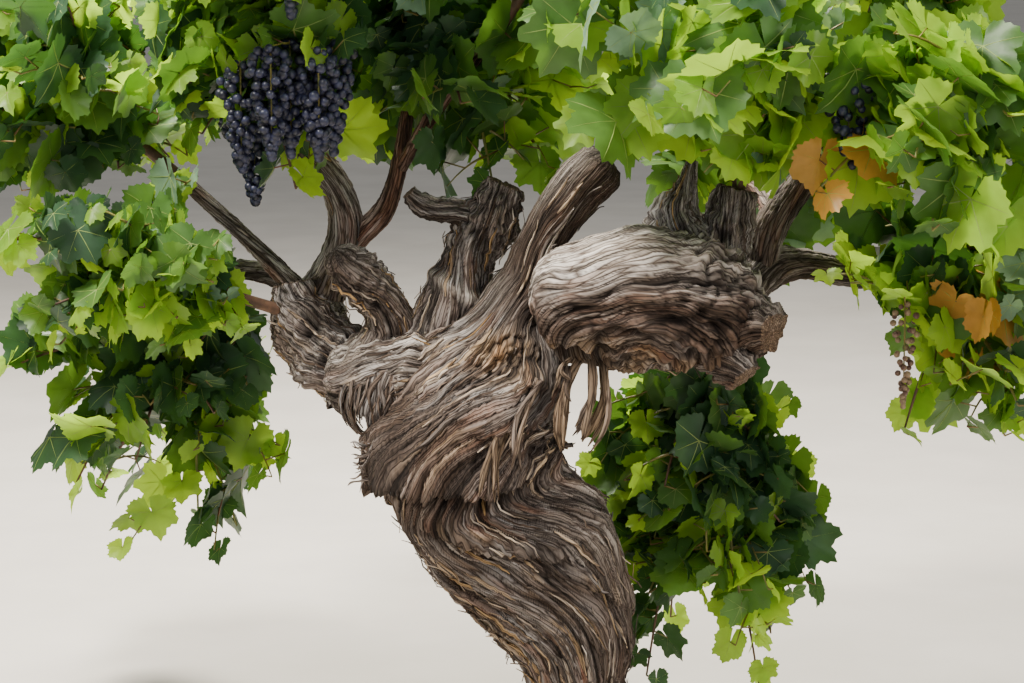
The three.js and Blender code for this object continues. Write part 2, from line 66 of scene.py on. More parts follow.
# Limbs: stations (x, y, z, radius) from the end that is sunk in the parent to the tip, as in the solids.
LIMBS = {
    "trunk": [
        (2, 0, -60, 109), (-3, 0, 0, 95), (-14, 0, 50, 72), (-22, 0, 100, 64), (-28, 0, 160, 81),
        (-54, 0, 228, 102), (-98, 0, 296, 112), (-146, -5, 370, 121), (-170, -10, 440, 126),
        (-163, -10, 510, 106), (-132, -5, 590, 68),
    ],
    "leader_stub": [
        (-136, 4, 560, 62), (-110, 5, 628, 50), (-86, 10, 676, 39), (-73, 10, 724, 32), (-50, 5, 768, 33),
        (-17, 0, 812, 35), (10, 0, 836, 34),
    ],
    "burl": [
        (-74, -50, 645, 34), (-63, -53, 649, 62), (-38, -61, 655, 80), (8, -74, 664, 91),
        (70, -85, 668, 94), (132, -80, 656, 88), (186, -66, 638, 71), (222, -56, 620, 46),
    ],
    "burl_knob_outer": [(186, -82, 640, 42), (224, -112, 632, 36), (240, -128, 626, 27)],
    "burl_knob_lower": [(156, -72, 614, 44), (182, -98, 588, 37), (204, -114, 562, 25)],
    "spike_spur": [(117, -42, 735, 40), (116, -40, 782, 34), (125, -38, 803, 17), (137, -34, 850, 4)],
    "upper_stub": [(165, -32, 680, 46), (178, -30, 732, 36), (192, -28, 778, 30), (200, -26, 808, 25)],
    "left_arm": [(-190, 8, 500, 62), (-241, 20, 530, 63), (-290, 32, 537, 61), (-345, 50, 532, 50)],
    "left_head": [
        (-335, 62, 515, 40), (-368, 85, 556, 53), (-396, 100, 593, 53), (-414, 115, 627, 50),
        (-421, 120, 656, 38),
    ],
    "left_spur": [
        (-312, 40, 560, 40), (-284, 40, 603, 33), (-291, 35, 639, 30), (-315, 29, 668, 33),
        (-338, 21, 693, 36), (-350, 16, 708, 25),
    ],
    "left_upright": [
        (-396, 128, 625, 36), (-366, 135, 683, 28), (-352, 140, 740, 24), (-366, 140, 795, 22),
        (-430, 140, 874, 20), (-464, 140, 909, 17),
    ],
    "left_fork": [
        (-356, 140, 700, 18), (-328, 145, 729, 17), (-297, 150, 760, 16), (-279, 155, 804, 13),
        (-262, 165, 900, 10),
    ],
    "middle_bough": [
        (-228, 38, 545, 56), (-202, 50, 612, 50), (-183, 60, 664, 40), (-168, 62, 714, 37),
        (-146, 62, 755, 39), (-128, 60, 790, 33), (-121, 60, 806, 26),
    ],
    "middle_spur": [
        (-150, 60, 748, 26), (-190, 52, 768, 16), (-222, 44, 774, 18), (-242, 38, 783, 19),
        (-256, 35, 797, 11),
    ],
    "right_arm": [
        (190, 0, 648, 38), (246, 60, 688, 32), (299, 90, 690, 21), (374, 120, 672, 17),
        (511, 170, 641, 13),
    ],
    "right_upper_arm": [
        (232, 48, 690, 28), (253, 60, 745, 26), (296, 75, 805, 20), (345, 80, 868, 17),
        (442, 70, 913, 15),
    ],
    "far_left_arm": [(-412, 125, 640, 17), (-480, 175, 700, 12), (-590, 190, 800, 10)],
    "left_back_arm": [(-400, 120, 610, 26), (-450, 220, 650, 18), (-520, 300, 655, 13)],
    "lower_back_arm": [(80, -20, 640, 30), (110, 55, 610, 20), (140, 120, 560, 13)],
    "left_high_arm": [(-398, 140, 838, 15), (-400, 125, 910, 12), (-408, 105, 1000, 10)],
    "middle_high_arm": [(-276, 156, 815, 10), (-225, 130, 900, 10), (-140, 100, 1010, 9)],
    "right_high_arm": [(335, 80, 855, 14), (360, 66, 930, 11), (380, 50, 1005, 9)],
    "far_right_arm": [(380, 78, 888, 13), (500, 20, 850, 11), (600, -10, 820, 10)],
    "back_left_arm": [(-360, 140, 780, 16), (-395, 250, 850, 12), (-420, 345, 925, 9)],
    "back_right_arm": [(262, 62, 758, 18), (250, 190, 785, 13), (215, 300, 800, 10)],
}
NECK = (-128, -2, 580, 74)  # where the bark of the trunk runs on into the leader
# The share of its radius that a limb swells and shrinks by
LUMP = {
    "trunk": 0.07, "burl": 0.08, "burl_knob_outer": 0.1, "burl_knob_lower": 0.1, "spike_spur": 0.14,
    "upper_stub": 0.1, "left_arm": 0.08, "left_head": 0.12, "left_spur": 0.1, "middle_bough": 0.07,
    "middle_spur": 0.1,
}
LUMP_ELSEWHERE = 0.05
GRAIN_TURN = 2.2  # how far the swellings wind round a limb, in radians
FLARE_SHARE = 0.22  # of the trunk's length, over which its foot flares
FLARE_LOBES = 5
FLARE_DEPTH = 0.16
SOLID_TRUNK = 705  # the length of the solid's trunk, without the leader

# Bark
ACROSS = 2.0  # between points round a limb
ALONG = 3.2  # between rings
FINER_ACROSS = 0.8  # the share of that on a slim limb
FINER_ALONG = 0.85
STOUT = 60  # the radius of a limb that isn't slim
SIDES = (24, 396)  # the fewest and the most points round a limb
FULL = 110  # the radius of a limb whose relief is full
FOOT = -3  # rings that lie lower are left out
ROLLED = 0.8  # the share of its radius that a limb's noise is rolled on
RIDGES = 7.5  # the height of the bark's slow ridges on a full limb, and of the forms on them
PLATES = 4.6
STRANDS = 1.9
FUZZ = 0.55
HILLS = 4
WHORL_CROWDED = 1.7  # how much finer the fibres are in a whorl
WHORL_STRAYS = 0.45  # the share that they wander there of what they do elsewhere
PLATE = 17  # width of a plate of bark
STRAND = 6  # width of a strand of bark
PLATE_LENGTH = 130
STRAND_LENGTH = 52

# Foliage: the same masses and the same rule as in the solids

# Each mass's bough, how far along it the stem leaves, the mass's middle and how far it reaches each way
MASS_ROWS = [
    ("left_top", "left_upright", 1, (-470, 100, 990), (260, 250, 230)),
    ("far_left", "far_left_arm", 1, (-745, 130, 930), (240, 260, 270)),
    ("left_droop", "left_head", 0.62, (-630, -20, 700), (250, 170, 150)),
    ("left_hanging", "left_back_arm", 1, (-650, 320, 450), (270, 240, 290)),
    ("middle", "left_fork", 1, (-160, 220, 985), (270, 310, 235)),
    ("centre_front", "upper_stub", 1, (150, -110, 985), (250, 240, 180)),
    ("right_front", "right_upper_arm", 1, (440, -140, 920), (250, 270, 230)),
    ("right_side", "right_arm", 1, (500, 70, 600), (250, 240, 220)),
    ("far_right", "far_right_arm", 1, (740, -30, 790), (240, 280, 280)),
    ("low_right", "lower_back_arm", 1, (168, 190, 290), (195, 185, 370)),
    ("crown_left", "left_high_arm", 1, (-430, 40, 1195), (340, 310, 225)),
    ("crown_middle", "middle_high_arm", 1, (-20, 50, 1225), (330, 330, 230)),
    ("crown_right", "right_high_arm", 1, (410, 0, 1180), (330, 320, 225)),
    ("back_left", "back_left_arm", 1, (-470, 450, 990), (300, 230, 230)),
    ("back_right", "back_right_arm", 1, (270, 420, 870), (280, 240, 270)),
]
MASSES = [dict(zip(("name", "bough", "at", "centre", "reach"), row)) for row in MASS_ROWS]
BARREN = ("low_right", "left_droop", "centre_front")
SHOOTS = 6  # of each mass in the solids
FINER_SHOOTS = 10  # more of them here
# How many more there are where it isn't that many
FULLER = {"low_right": 29, "right_side": 14, "crown_middle": 13, "crown_left": 13, "crown_right": 13}
SHOOT_SHARE = 0.8  # how much of the way to where its space ends a shoot grows
FINER_SHARE = 0.94
RAGGED = {"low_right": 0.25, "left_droop": 0.5}  # how much shorter some finer shoots are
RAGGED_ELSEWHERE = 0.3
END_STEP = 10  # in which the way to where its space ends is found
STEM_BARE = 0.5  # the share of a stem that no shoot leaves
FINER_BARE = {"low_right": 0.06}  # and where that is less for the finer shoots
STEM_RADIUS = 10
ARCH = 0.16  # how high a shoot arches, as a share of its length
GROUND_CLEAR = 14
GOLDEN_TURN = math.pi * (3 - math.sqrt(5))
CROWN_CENTRE = np.array([-20.0, 100.0, 850.0])
LEAF_SIZE = 72  # from its stalk to its tip
LEAF_NODE = 40  # between leaves along a shoot
# The masses whose leaves are smaller, and by how much
SMALLER = {
    "low_right": 0.74, "left_droop": 0.68, "left_hanging": 0.8, "left_top": 0.84, "far_left": 0.84,
    "right_side": 0.86,
}
LEAF_JITTER = 2.3  # how freely leaves face
LEAF_SLACK = 10  # how far leaves of neighbouring masses mingle
BUNCH_LENGTH = 150
BUNCH_RADIUS = 38
BERRY_RADIUS = 7.2
BERRIES = 84  # to a bunch


# Numbers and noise

SHUFFLE = np.random.default_rng(12).permutation(256)
SLOPES = np.random.default_rng(11).normal(size=(256, 3))
SLOPES /= np.linalg.norm(SLOPES, axis=1)[:, None]
SEED_APART = 17.31  # how far apart the noises of two seeds are read
NOISE_HEIGHT = 1.6  # brings it to about -1 to 1


def unit(v):
    """Vectors made one long."""
    return v / np.maximum(np.linalg.norm(v, axis=-1, keepdims=True), 1e-9)


def smooth(x):
    """A soft step from 0 at 0 to 1 at 1."""
    x = np.clip(x, 0, 1)
    return x * x * (3 - 2 * x)


def own_number(index, seed):
    """A number from 0 to 1 of each whole number's own."""
    return SHUFFLE[(SHUFFLE[index & 255] + SHUFFLE[(index >> 8) & 255] + seed * 37) & 255] / 255


def noise(points, seed):
    """Smooth noise from about -1 to 1 at points (..., 3), with one bump to a unit."""
    points = points + seed * SEED_APART
    cell = np.floor(points).astype(int)
    part = points - cell
    ease = part**3 * (part * (part * 6 - 15) + 10)
    total = np.zeros(points.shape[:-1])
    for corner in itertools.product((0, 1), repeat=3):
        at = cell + corner
        first = SHUFFLE[at[..., 0] & 255] + at[..., 1]
        second = SHUFFLE[first & 255] + at[..., 2]
        slope = SLOPES[SHUFFLE[second & 255]]
        weight = np.prod(np.where(corner, ease, 1 - ease), axis=-1)
        total += weight * ((part - corner) * slope).sum(-1)
    return total * NOISE_HEIGHT


def layered(points, layers, seed):
    """Noise with finer and fainter layers added."""
    return sum(noise(points * 2**i, seed + i) * 0.5**i for i in range(layers))


def seeded(seed):
    """A stream of numbers from 0 to 1, the same as in the solids."""
    state = seed

    def following():
        nonlocal state
        state = (state * 1664525 + 1013904223) % 2**32
        return state / 2**32

    return following


# Meshes

def colour(red, green, blue):
    """A colour as paint charts give it, from 0 to 255, as linear light."""
    shares = [c / 255 for c in (red, green, blue)]
    return np.array([((c + 0.055) / 1.055) ** 2.4 if c > 0.04 else c / 12.92 for c in shares])


def piece(name, points, triangles, materials, nodes=(), picks=None, tone=None, fibre=None):
    """A piece of the plant from points in millimetres. picks gives each triangle's material."""
    mesh = bpy.data.meshes.new(name)
    count = len(triangles)
    mesh.vertices.add(len(points))
    mesh.vertices.foreach_set("co", (points * MM).astype(np.float32).ravel())
    mesh.loops.add(3 * count)
    mesh.loops.foreach_set("vertex_index", triangles.astype(np.int32).ravel())
    mesh.polygons.add(count)
    mesh.polygons.foreach_set("loop_start", np.arange(0, 3 * count, 3, dtype=np.int32))
    mesh.polygons.foreach_set("use_smooth", np.ones(count, bool))
    for material in materials:
        mesh.materials.append(material)
    if picks is not None:
        mesh.polygons.foreach_set("material_index", picks.astype(np.int32))
    if tone is not None:
        layer = mesh.attributes.new("tone", "FLOAT_COLOR", "POINT")
        rgba = np.concatenate([tone, np.ones((len(tone), 1))], axis=1)
        layer.data.foreach_set("color", rgba.astype(np.float32).ravel())
    if fibre is not None:
        layer = mesh.attributes.new("fibre", "FLOAT_VECTOR", "POINT")
        layer.data.foreach_set("vector", fibre.astype(np.float32).ravel())
    mesh.update(calc_edges=True)
    mesh.validate()
    made = bpy.data.objects.new(name, mesh)
    bpy.context.scene.collection.objects.link(made)
    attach(made, "root")
    if nodes:
        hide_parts(*nodes)
    return made


def grid_triangles(rings, sides):
    """Triangles of a tube of rings, numbered ring by ring."""
    ring, side = np.meshgrid(np.arange(rings - 1), np.arange(sides), indexing="ij")
    a = (ring * sides + side).ravel()
    b = (ring * sides + (side + 1) % sides).ravel()
    return np.concatenate([np.stack([a, b, b + sides], 1), np.stack([a, b + sides, a + sides], 1)])


class Heap:
    """Points and triangles of many small things, joined into one mesh."""

    def __init__(self):
        self.points = []
        self.triangles = []
        self.picks = []
        self.count = 0

    def add(self, points, triangles, pick=0):
        self.points.append(points)
        self.triangles.append(triangles + self.count)
        self.picks.append(np.full(len(triangles), pick))
        self.count += len(points)

    def piece(self, name, materials, slot, nodes=(), tone=None, fibre=None):
        points = np.concatenate(self.points)
        triangles = np.concatenate(self.triangles)
        picks = np.concatenate(self.picks)
        return piece(name, points, triangles, materials, nodes, picks, tone, fibre)


# Lines

def spline(stations, share):
    """Points at shares from 0 to 1 of a centripetal Catmull-Rom curve through the stations."""
    first = 2 * stations[0] - stations[1]
    last = 2 * stations[-1] - stations[-2]
    knots = np.concatenate([[first], stations, [last]])
    place = np.clip(share, 0, 1) * (len(stations) - 1)
    i = np.minimum(place.astype(int), len(stations) - 2)
    w = (place - i)[:, None]
    a, b, c, d = (knots[i + k] for k in range(4))
    ab, bc, cd = (np.linalg.norm(q - p, axis=1)[:, None] ** 0.5 for p, q in ((a, b), (b, c), (c, d)))
    leave = ((b - a) / ab - (c - a) / (ab + bc) + (c - b) / bc) * bc
    arrive = ((c - b) / bc - (d - b) / (bc + cd) + (d - c) / cd) * bc
    return b + w * (leave + w * (3 * (c - b) - 2 * leave - arrive + w * (2 * (b - c) + leave + arrive)))


def carried(tangents):
    """Ways square to a line, carried along it without a twist."""
    sizes = np.abs(tangents[0])
    start = np.eye(3)[2 - np.argmin(sizes[::-1])]
    ways = [unit(np.cross(tangents[0], np.cross(tangents[0], start)))]
    for tangent in tangents[1:]:
        ways.append(unit(ways[-1] - tangent * (ways[-1] @ tangent)))
    return np.array(ways)


def around(one, other, angle):
    """The ways at angles round each place of a line, from two ways square to it."""
    return one[:, None] * np.cos(angle)[None, :, None] + other[:, None] * np.sin(angle)[None, :, None]


FINE_STEPS = 1200  # that a line's length is measured in
SOFTENED = 7  # rings that a radius is averaged over


class Line:
    """A limb's middle line in even steps. run is the length up to each step."""

    def __init__(self, stations, step):
        stations = np.array(stations, float)
        knots = stations[:, :3]
        fine = np.linspace(0, 1, FINE_STEPS + 1)
        gaps = np.linalg.norm(np.diff(spline(knots, fine), axis=0), axis=1)
        lengths = np.concatenate([[0], np.cumsum(gaps)])
        self.length = lengths[-1]
        count = max(6, round(self.length / step))
        self.run = np.linspace(0, self.length, count + 1)
        self.share = np.interp(self.run, lengths, fine)
        self.centre = spline(knots, self.share)
        radii = np.interp(self.share * (len(stations) - 1), np.arange(len(stations)), stations[:, 3])
        kernel = np.ones(SOFTENED) / SOFTENED
        self.radius = np.convolve(np.pad(radii, SOFTENED // 2, mode="edge"), kernel, mode="valid")
        self.tangent = unit(np.gradient(self.centre, axis=0))
        self.normal = carried(self.tangent)
        self.binormal = np.cross(self.tangent, self.normal)


# Bark

# The first colour is the dark of the bark's cracks. It also serves as painted shade in hollows, creases and
# grooves, under lips and under the burl.
CRACK_AND_SHADE = colour(32, 25, 21)
BROWN = colour(112, 95, 82)
GREY = colour(143, 142, 143)
SILVER = colour(219, 214, 208)
REDDISH = colour(128, 88, 68)
OCHRE = colour(180, 147, 98)
CUT = colour(140, 116, 92)
CANE = colour(122, 76, 54)
UMBER = colour(82, 66, 56)
OCHRE_PATCH = ((-125, -90, 588), (62, 60, 46))  # where the trunk meets the burl: its middle and reach
BURL_SHADOW = ((-58, -60, 530), (56, 80, 84))  # the painted shadow under the burl
# How much of the dark umber each limb's bark takes on
UMBERED = {
    "burl_knob_outer": 0.95, "burl_knob_lower": 0.4, "right_arm": 0.6, "right_upper_arm": 0.5,
    "left_spur": 0.55, "left_arm": 0.25, "middle_bough": 0.25,
}
# How much of the pale ash grey each limb's bark takes on
ASHEN = {
    "left_arm": 0.3, "left_head": 0.5, "left_spur": 0.35, "middle_bough": 0.4, "left_upright": 0.3,
    "spike_spur": 1.0, "upper_stub": 0.6,
}
# The arms that are still smooth young wood, and those that are half way there
CANES = (
    "left_fork", "left_high_arm", "middle_high_arm", "right_high_arm", "far_right_arm", "back_left_arm",
    "back_right_arm",
)
YOUNGER = ("left_upright", "right_arm", "far_left_arm", "left_back_arm")


def mixed(a, b, share):
    """Colours from a to b at a share for each point."""
    return a + (b - a) * np.clip(np.asarray(share, float), 0, 1)[..., None]


def strands(turn, run, count, length, seed, layer):
    """Strands of bark side by side round a limb, each broken into lengths that end one over the other.

    layer is a whole number for the sheet of bark that a point is on. Gives the height from about -0.6 to 1,
    each piece's own number, and how deep in a crack a point is.
    """
    place = turn * count / TAU
    index = np.floor(place).astype(int) % count + 61 * layer
    across = place - np.floor(place)
    late = own_number(index, seed)
    along = run / length + late * 7 + 0.4 * across
    broken = np.floor(along).astype(int)
    ended = np.minimum(along - broken, 1 - (along - broken))
    own = own_number(index * 7 + broken * 31, seed + 1)
    lean = own_number(index * 13 + broken * 17, seed + 2) - 0.5
    crack = np.abs(2 * across - 1) ** 6
    height = own * 0.9 - 0.25 + 1.1 * lean * (across - 0.5) - 0.55 * crack
    return height - 0.3 * (1 - smooth(ended / 0.05)), own, crack


# Rolls of bark across the trunk that hang over what is under them: which way each faces and how far round
# it reaches, in degrees, its lower edge's height there, how much that edge rises to the right, its own
# height, how much that grows to the right, how far it stands out and droops, and how far it winds the
# grain, in radians a millimetre
ROLLS = [
    (-128, 82, 409, 9, 118, 34, 25, 24, 0.002),
    (-58, 38, 500, 30, 84, 0, 13, 10, 0.001),
    (40, 70, 430, -25, 120, 10, 14, 12, 0.002),
    (125, 65, 350, 20, 150, 0, 15, 12, 0.002),
    (-92, 50, 316, -34, 66, 0, 7, 7, 0.001),
    (-30, 60, 232, -60, 110, 0, 5, 5, -0.001),
    (-150, 50, 205, -30, 80, 0, 5, 5, 0.001),
]
# Where the trunk bulges to the right: which way, how far round, the heights where a bulge starts, is full,
# ends being full and ends, and how far it stands out
SWELLS = [(-12, 85, (462, 500, 580, 622), 24), (-8, 80, (256, 335, 350, 430), 25)]
# How fast the trunk's fibres wind at a length along it, in radians a millimetre
GRAIN_RATES = [
    (0, 0.0005), (300, -0.0035), (470, -0.0045), (500, 0.009), (640, 0.009), (700, 0.002), (1010, -0.003),
]


ROLL_FADE = 30  # over how many degrees a roll ends
SWELL_FADE = 60
DARK_LIP = 18  # a roll that stands out so far has full painted shade under its lip


def degrees_aside(azimuth, facing):
    """How many degrees to the side of the way that something faces."""
    return (azimuth - facing + 180) % 360 - 180


def rolls(azimuth, height, ragged):
    """What the rolls of bark do at a compass way and a height on the trunk.

    Gives how far they stand out and droop, how much further they wind the grain, which sheet of bark is
    there, and how much painted shade falls under a roll's lip.
    """
    out, droop, wind, shade = np.zeros((4, *azimuth.shape))
    layer = np.zeros(azimuth.shape, int)
    for number, (facing, half, edge, rise, own, grows, stands, droops, winds) in enumerate(ROLLS, 1):
        aside = degrees_aside(azimuth, facing)
        turn = np.radians(aside)
        window = smooth((half - np.abs(aside)) / ROLL_FADE)
        low = edge + rise * turn + ragged
        tall = own + grows * turn
        up = (height - low) / tall
        body = smooth(up / 0.06) * (1 - smooth((up - 0.6) / 0.5))
        under = smooth((up + 0.3) / 0.26) * (1 - smooth(up / 0.03))
        out += window * stands * (body - 0.5 * under)
        droop += window * droops * body * (1 - smooth(up / 0.3))
        wind += window * winds * np.clip(height - low, 0, tall)
        shade = np.maximum(shade, window * under * min(1, stands / DARK_LIP))
        layer[(window > 0.4) & (up > 0) & (up < 1.05)] = number
    return out, droop, wind, layer, shade


def swells(azimuth, height):
    """How far the trunk bulges at a compass way and a height."""
    out = np.zeros(azimuth.shape)
    for facing, half, heights, stands in SWELLS:
        share = np.interp(height, heights, (0, 1, 1, 0))
        out += stands * smooth((half - np.abs(degrees_aside(azimuth, facing))) / SWELL_FADE) * smooth(share)
    return out


# Limbs whose fibres run in rings about a pole: the middle, the pole, the length over the height, the radius
# that the rings are measured at, how far they wind into a spiral, and how far and in what waves they stray
WHORLS = {
    "burl": {
        "middle": (34, -62, 652), "pole": (0.05, -0.64, -0.77), "longer": 1.2, "girth": 112, "spiral": 0.07,
        "strays": 17, "waves": 74,
    },
}


def whorl(name, points):
    """How far from the pole points are, in radians, and how far round it, in millimetres."""
    one = WHORLS[name]
    bent = np.stack([noise(points / one["waves"], seed) for seed in (71, 72, 73)], -1)
    away = unit((points + one["strays"] * bent - one["middle"]) / [one["longer"], 1, 1])
    pole = unit(np.array(one["pole"]))
    right = unit(np.cross(pole, UP))
    from_pole = np.arccos(np.clip(away @ pole, -1, 1))
    round_pole = np.arctan2(away @ right, away @ np.cross(right, pole))
    across = from_pole + one["spiral"] * round_pole
    return across, round_pole * one["girth"] * np.maximum(np.sin(from_pole), 0.2)


# Ridges of bark that wind over a limb: a point on each, its slope to the right, its width and its height
FOLDS = {"middle_bough": [((-188, 662), -0.6, 9, 10)], "left_arm": [((-262, 560), 2.6, 8, 7)]}

# Arched lips of bark with a groove under them that is painted dark as shade: the middle, the reach each
# way, the part of the arch that one takes up in degrees, its width and its height
LIPS = {
    "burl": [
        ((40, 596), (66, 52), (28, 168), 8, 7),
        ((-6, 600), (74, 76), (70, 172), 7, 5),
        ((132, 602), (50, 74), (-10, 96), 7, 6),
    ],
}


def lips(name, points):
    """How far the arched lips of bark stand out, and how much painted shade lies in the grooves under them.
    """
    out = np.zeros(points.shape[:2])
    groove = np.zeros(points.shape[:2])
    for (x, z), (wide, high), (first, last), thick, tall in LIPS.get(name, []):
        across = (points[..., 0] - x) / wide
        up = (points[..., 2] - z) / high
        facing = smooth((-60 - points[..., 1]) / 30)
        turn = np.degrees(np.arctan2(up, across))
        window = facing * smooth((turn - first) / 25) * smooth((last - turn) / 25)
        off = (np.hypot(across, up) - 1) * min(wide, high) + 4 * noise(points / 16, 64)
        below = off + 1.5 * thick
        cut = 1.3 * np.exp(-((below / (0.6 * thick)) ** 2))
        out = out + window * tall * (np.exp(-((off / thick) ** 2)) - cut)
        groove = np.maximum(groove, window * np.exp(-((below / (0.5 * thick)) ** 2)))
    return out, groove


def folds(name, points):
    """How far the ridges over a limb stand out, in millimetres, and as a share of their height."""
    out = np.zeros(points.shape[:2])
    share = np.zeros(points.shape[:2])
    for (x, z), slope, wide, tall in FOLDS.get(name, []):
        off = (points[..., 2] - z - slope * (points[..., 0] - x)) / math.hypot(1, slope)
        crest = np.exp(-((off / wide) ** 2))
        out = out + tall * crest
        share = np.maximum(share, crest)
    return out, share


# How corky each limb is at shares of its length
CORKY = {
    "trunk": [(0, 0.16), (0.5, 0.2), (0.62, 0.3), (0.72, 0.1), (1, 0.1)],
    "burl": [(0, 0.3), (0.3, 0.12), (0.5, 0.3), (0.66, 1.05), (1, 1.25)],
    "burl_knob_outer": [(0, 1), (1, 0.8)],
    "burl_knob_lower": [(0, 1), (1, 0.8)],
    "spike_spur": [(0, 1.2), (0.5, 0.9), (0.7, 0.2), (1, 0)],
    "upper_stub": [(0, 1), (1, 0.5)],
    "left_arm": [(0, 0.2), (1, 0.5)],
    "left_head": [(0, 0.6), (1, 0.9)],
    "left_spur": [(0, 0.3), (0.5, 0.5), (0.8, 1.2), (1, 1)],
    "middle_bough": [(0, 0.2), (0.5, 0.3), (0.8, 1), (1, 1)],
    "middle_spur": [(0, 0.6), (1, 0.6)],
}
CORKY_ELSEWHERE = [(0, 0.25), (1, 0.15)]


def cork(points, thick):
    """Crumbled lumps with creases between them, in millimetres."""
    size = min(1, (thick / 90) ** 0.5)
    coarse = np.abs(noise(points / (27 * size), 51)) * 2 - 0.55
    fine = np.abs(noise(points / (10.5 * size), 52)) * 2 - 0.5
    return size * (10.5 * coarse + 4.2 * fine)


# Corky knots in a limb's bark: the middle of each, how far it reaches each way, and how corky it is
KNOTS = {
    "burl": [((46, -140, 588), (44, 60, 26), 1.2), ((-30, -130, 592), (46, 60, 22), 0.8)],
    "trunk": [
        ((-118, -90, 582), (66, 60, 42), 1.25), ((-88, -110, 452), (40, 60, 30), 0.5),
        ((-50, -50, 548), (40, 60, 40), 0.6),
    ],
    "left_arm": [((-330, -8, 510), (40, 60, 40), 0.7)],
}


def spot(points, middle, reach, edge):
    """How near points are to the middle of a spot: 1 there, and 0 from edge times its reach."""
    return smooth(edge - np.linalg.norm((points - middle) / reach, axis=-1))


def knots(name, points):
    """How much corkier the bark is at its knots."""
    more = np.zeros(points.shape[:2])
    for middle, reach, weight in KNOTS.get(name, []):
        wavy = points + 7 * noise(points / 21, 66)[..., None]
        more = np.maximum(more, weight * spot(wavy, middle, reach, 1.3))
    return more


# Hollows in the bark: the middle of each, how far it reaches each way, and how deep it is
DENTS = {
    "burl": [
        ((-30, -126, 590), (42, 40, 11), 21), ((8, -150, 606), (9, 30, 22), 9),
        ((104, -160, 648), (40, 30, 7), 8), ((-78, -96, 640), (9, 30, 34), 7),
        ((168, -150, 640), (15, 30, 10), 12), ((214, -112, 652), (10, 30, 14), 12),
        ((128, -160, 600), (18, 30, 8), 10),
    ],
    "left_head": [((-396, 48, 606), (17, 30, 25), 20), ((-376, 36, 560), (9, 26, 20), 11)],
    "left_spur": [((-300, 8, 648), (9, 20, 9), 7)],
    "middle_bough": [((-158, 28, 742), (11, 20, 15), 9)],
    "upper_stub": [((176, -62, 748), (12, 20, 12), 9)],
}


def dents(name, points):
    """How deep in a hollow points are, in millimetres, and as a share of its depth, which sets the painted
    shade in it.
    """
    deep = np.zeros(points.shape[:2])
    inside = np.zeros(points.shape[:2])
    for middle, reach, depth in DENTS.get(name, []):
        wavy = points + 5 * noise(points / 17, 61)[..., None]
        share = spot(wavy, middle, reach, 1.35)
        deep = deep + depth * share
        inside = np.maximum(inside, share)
    return deep, inside


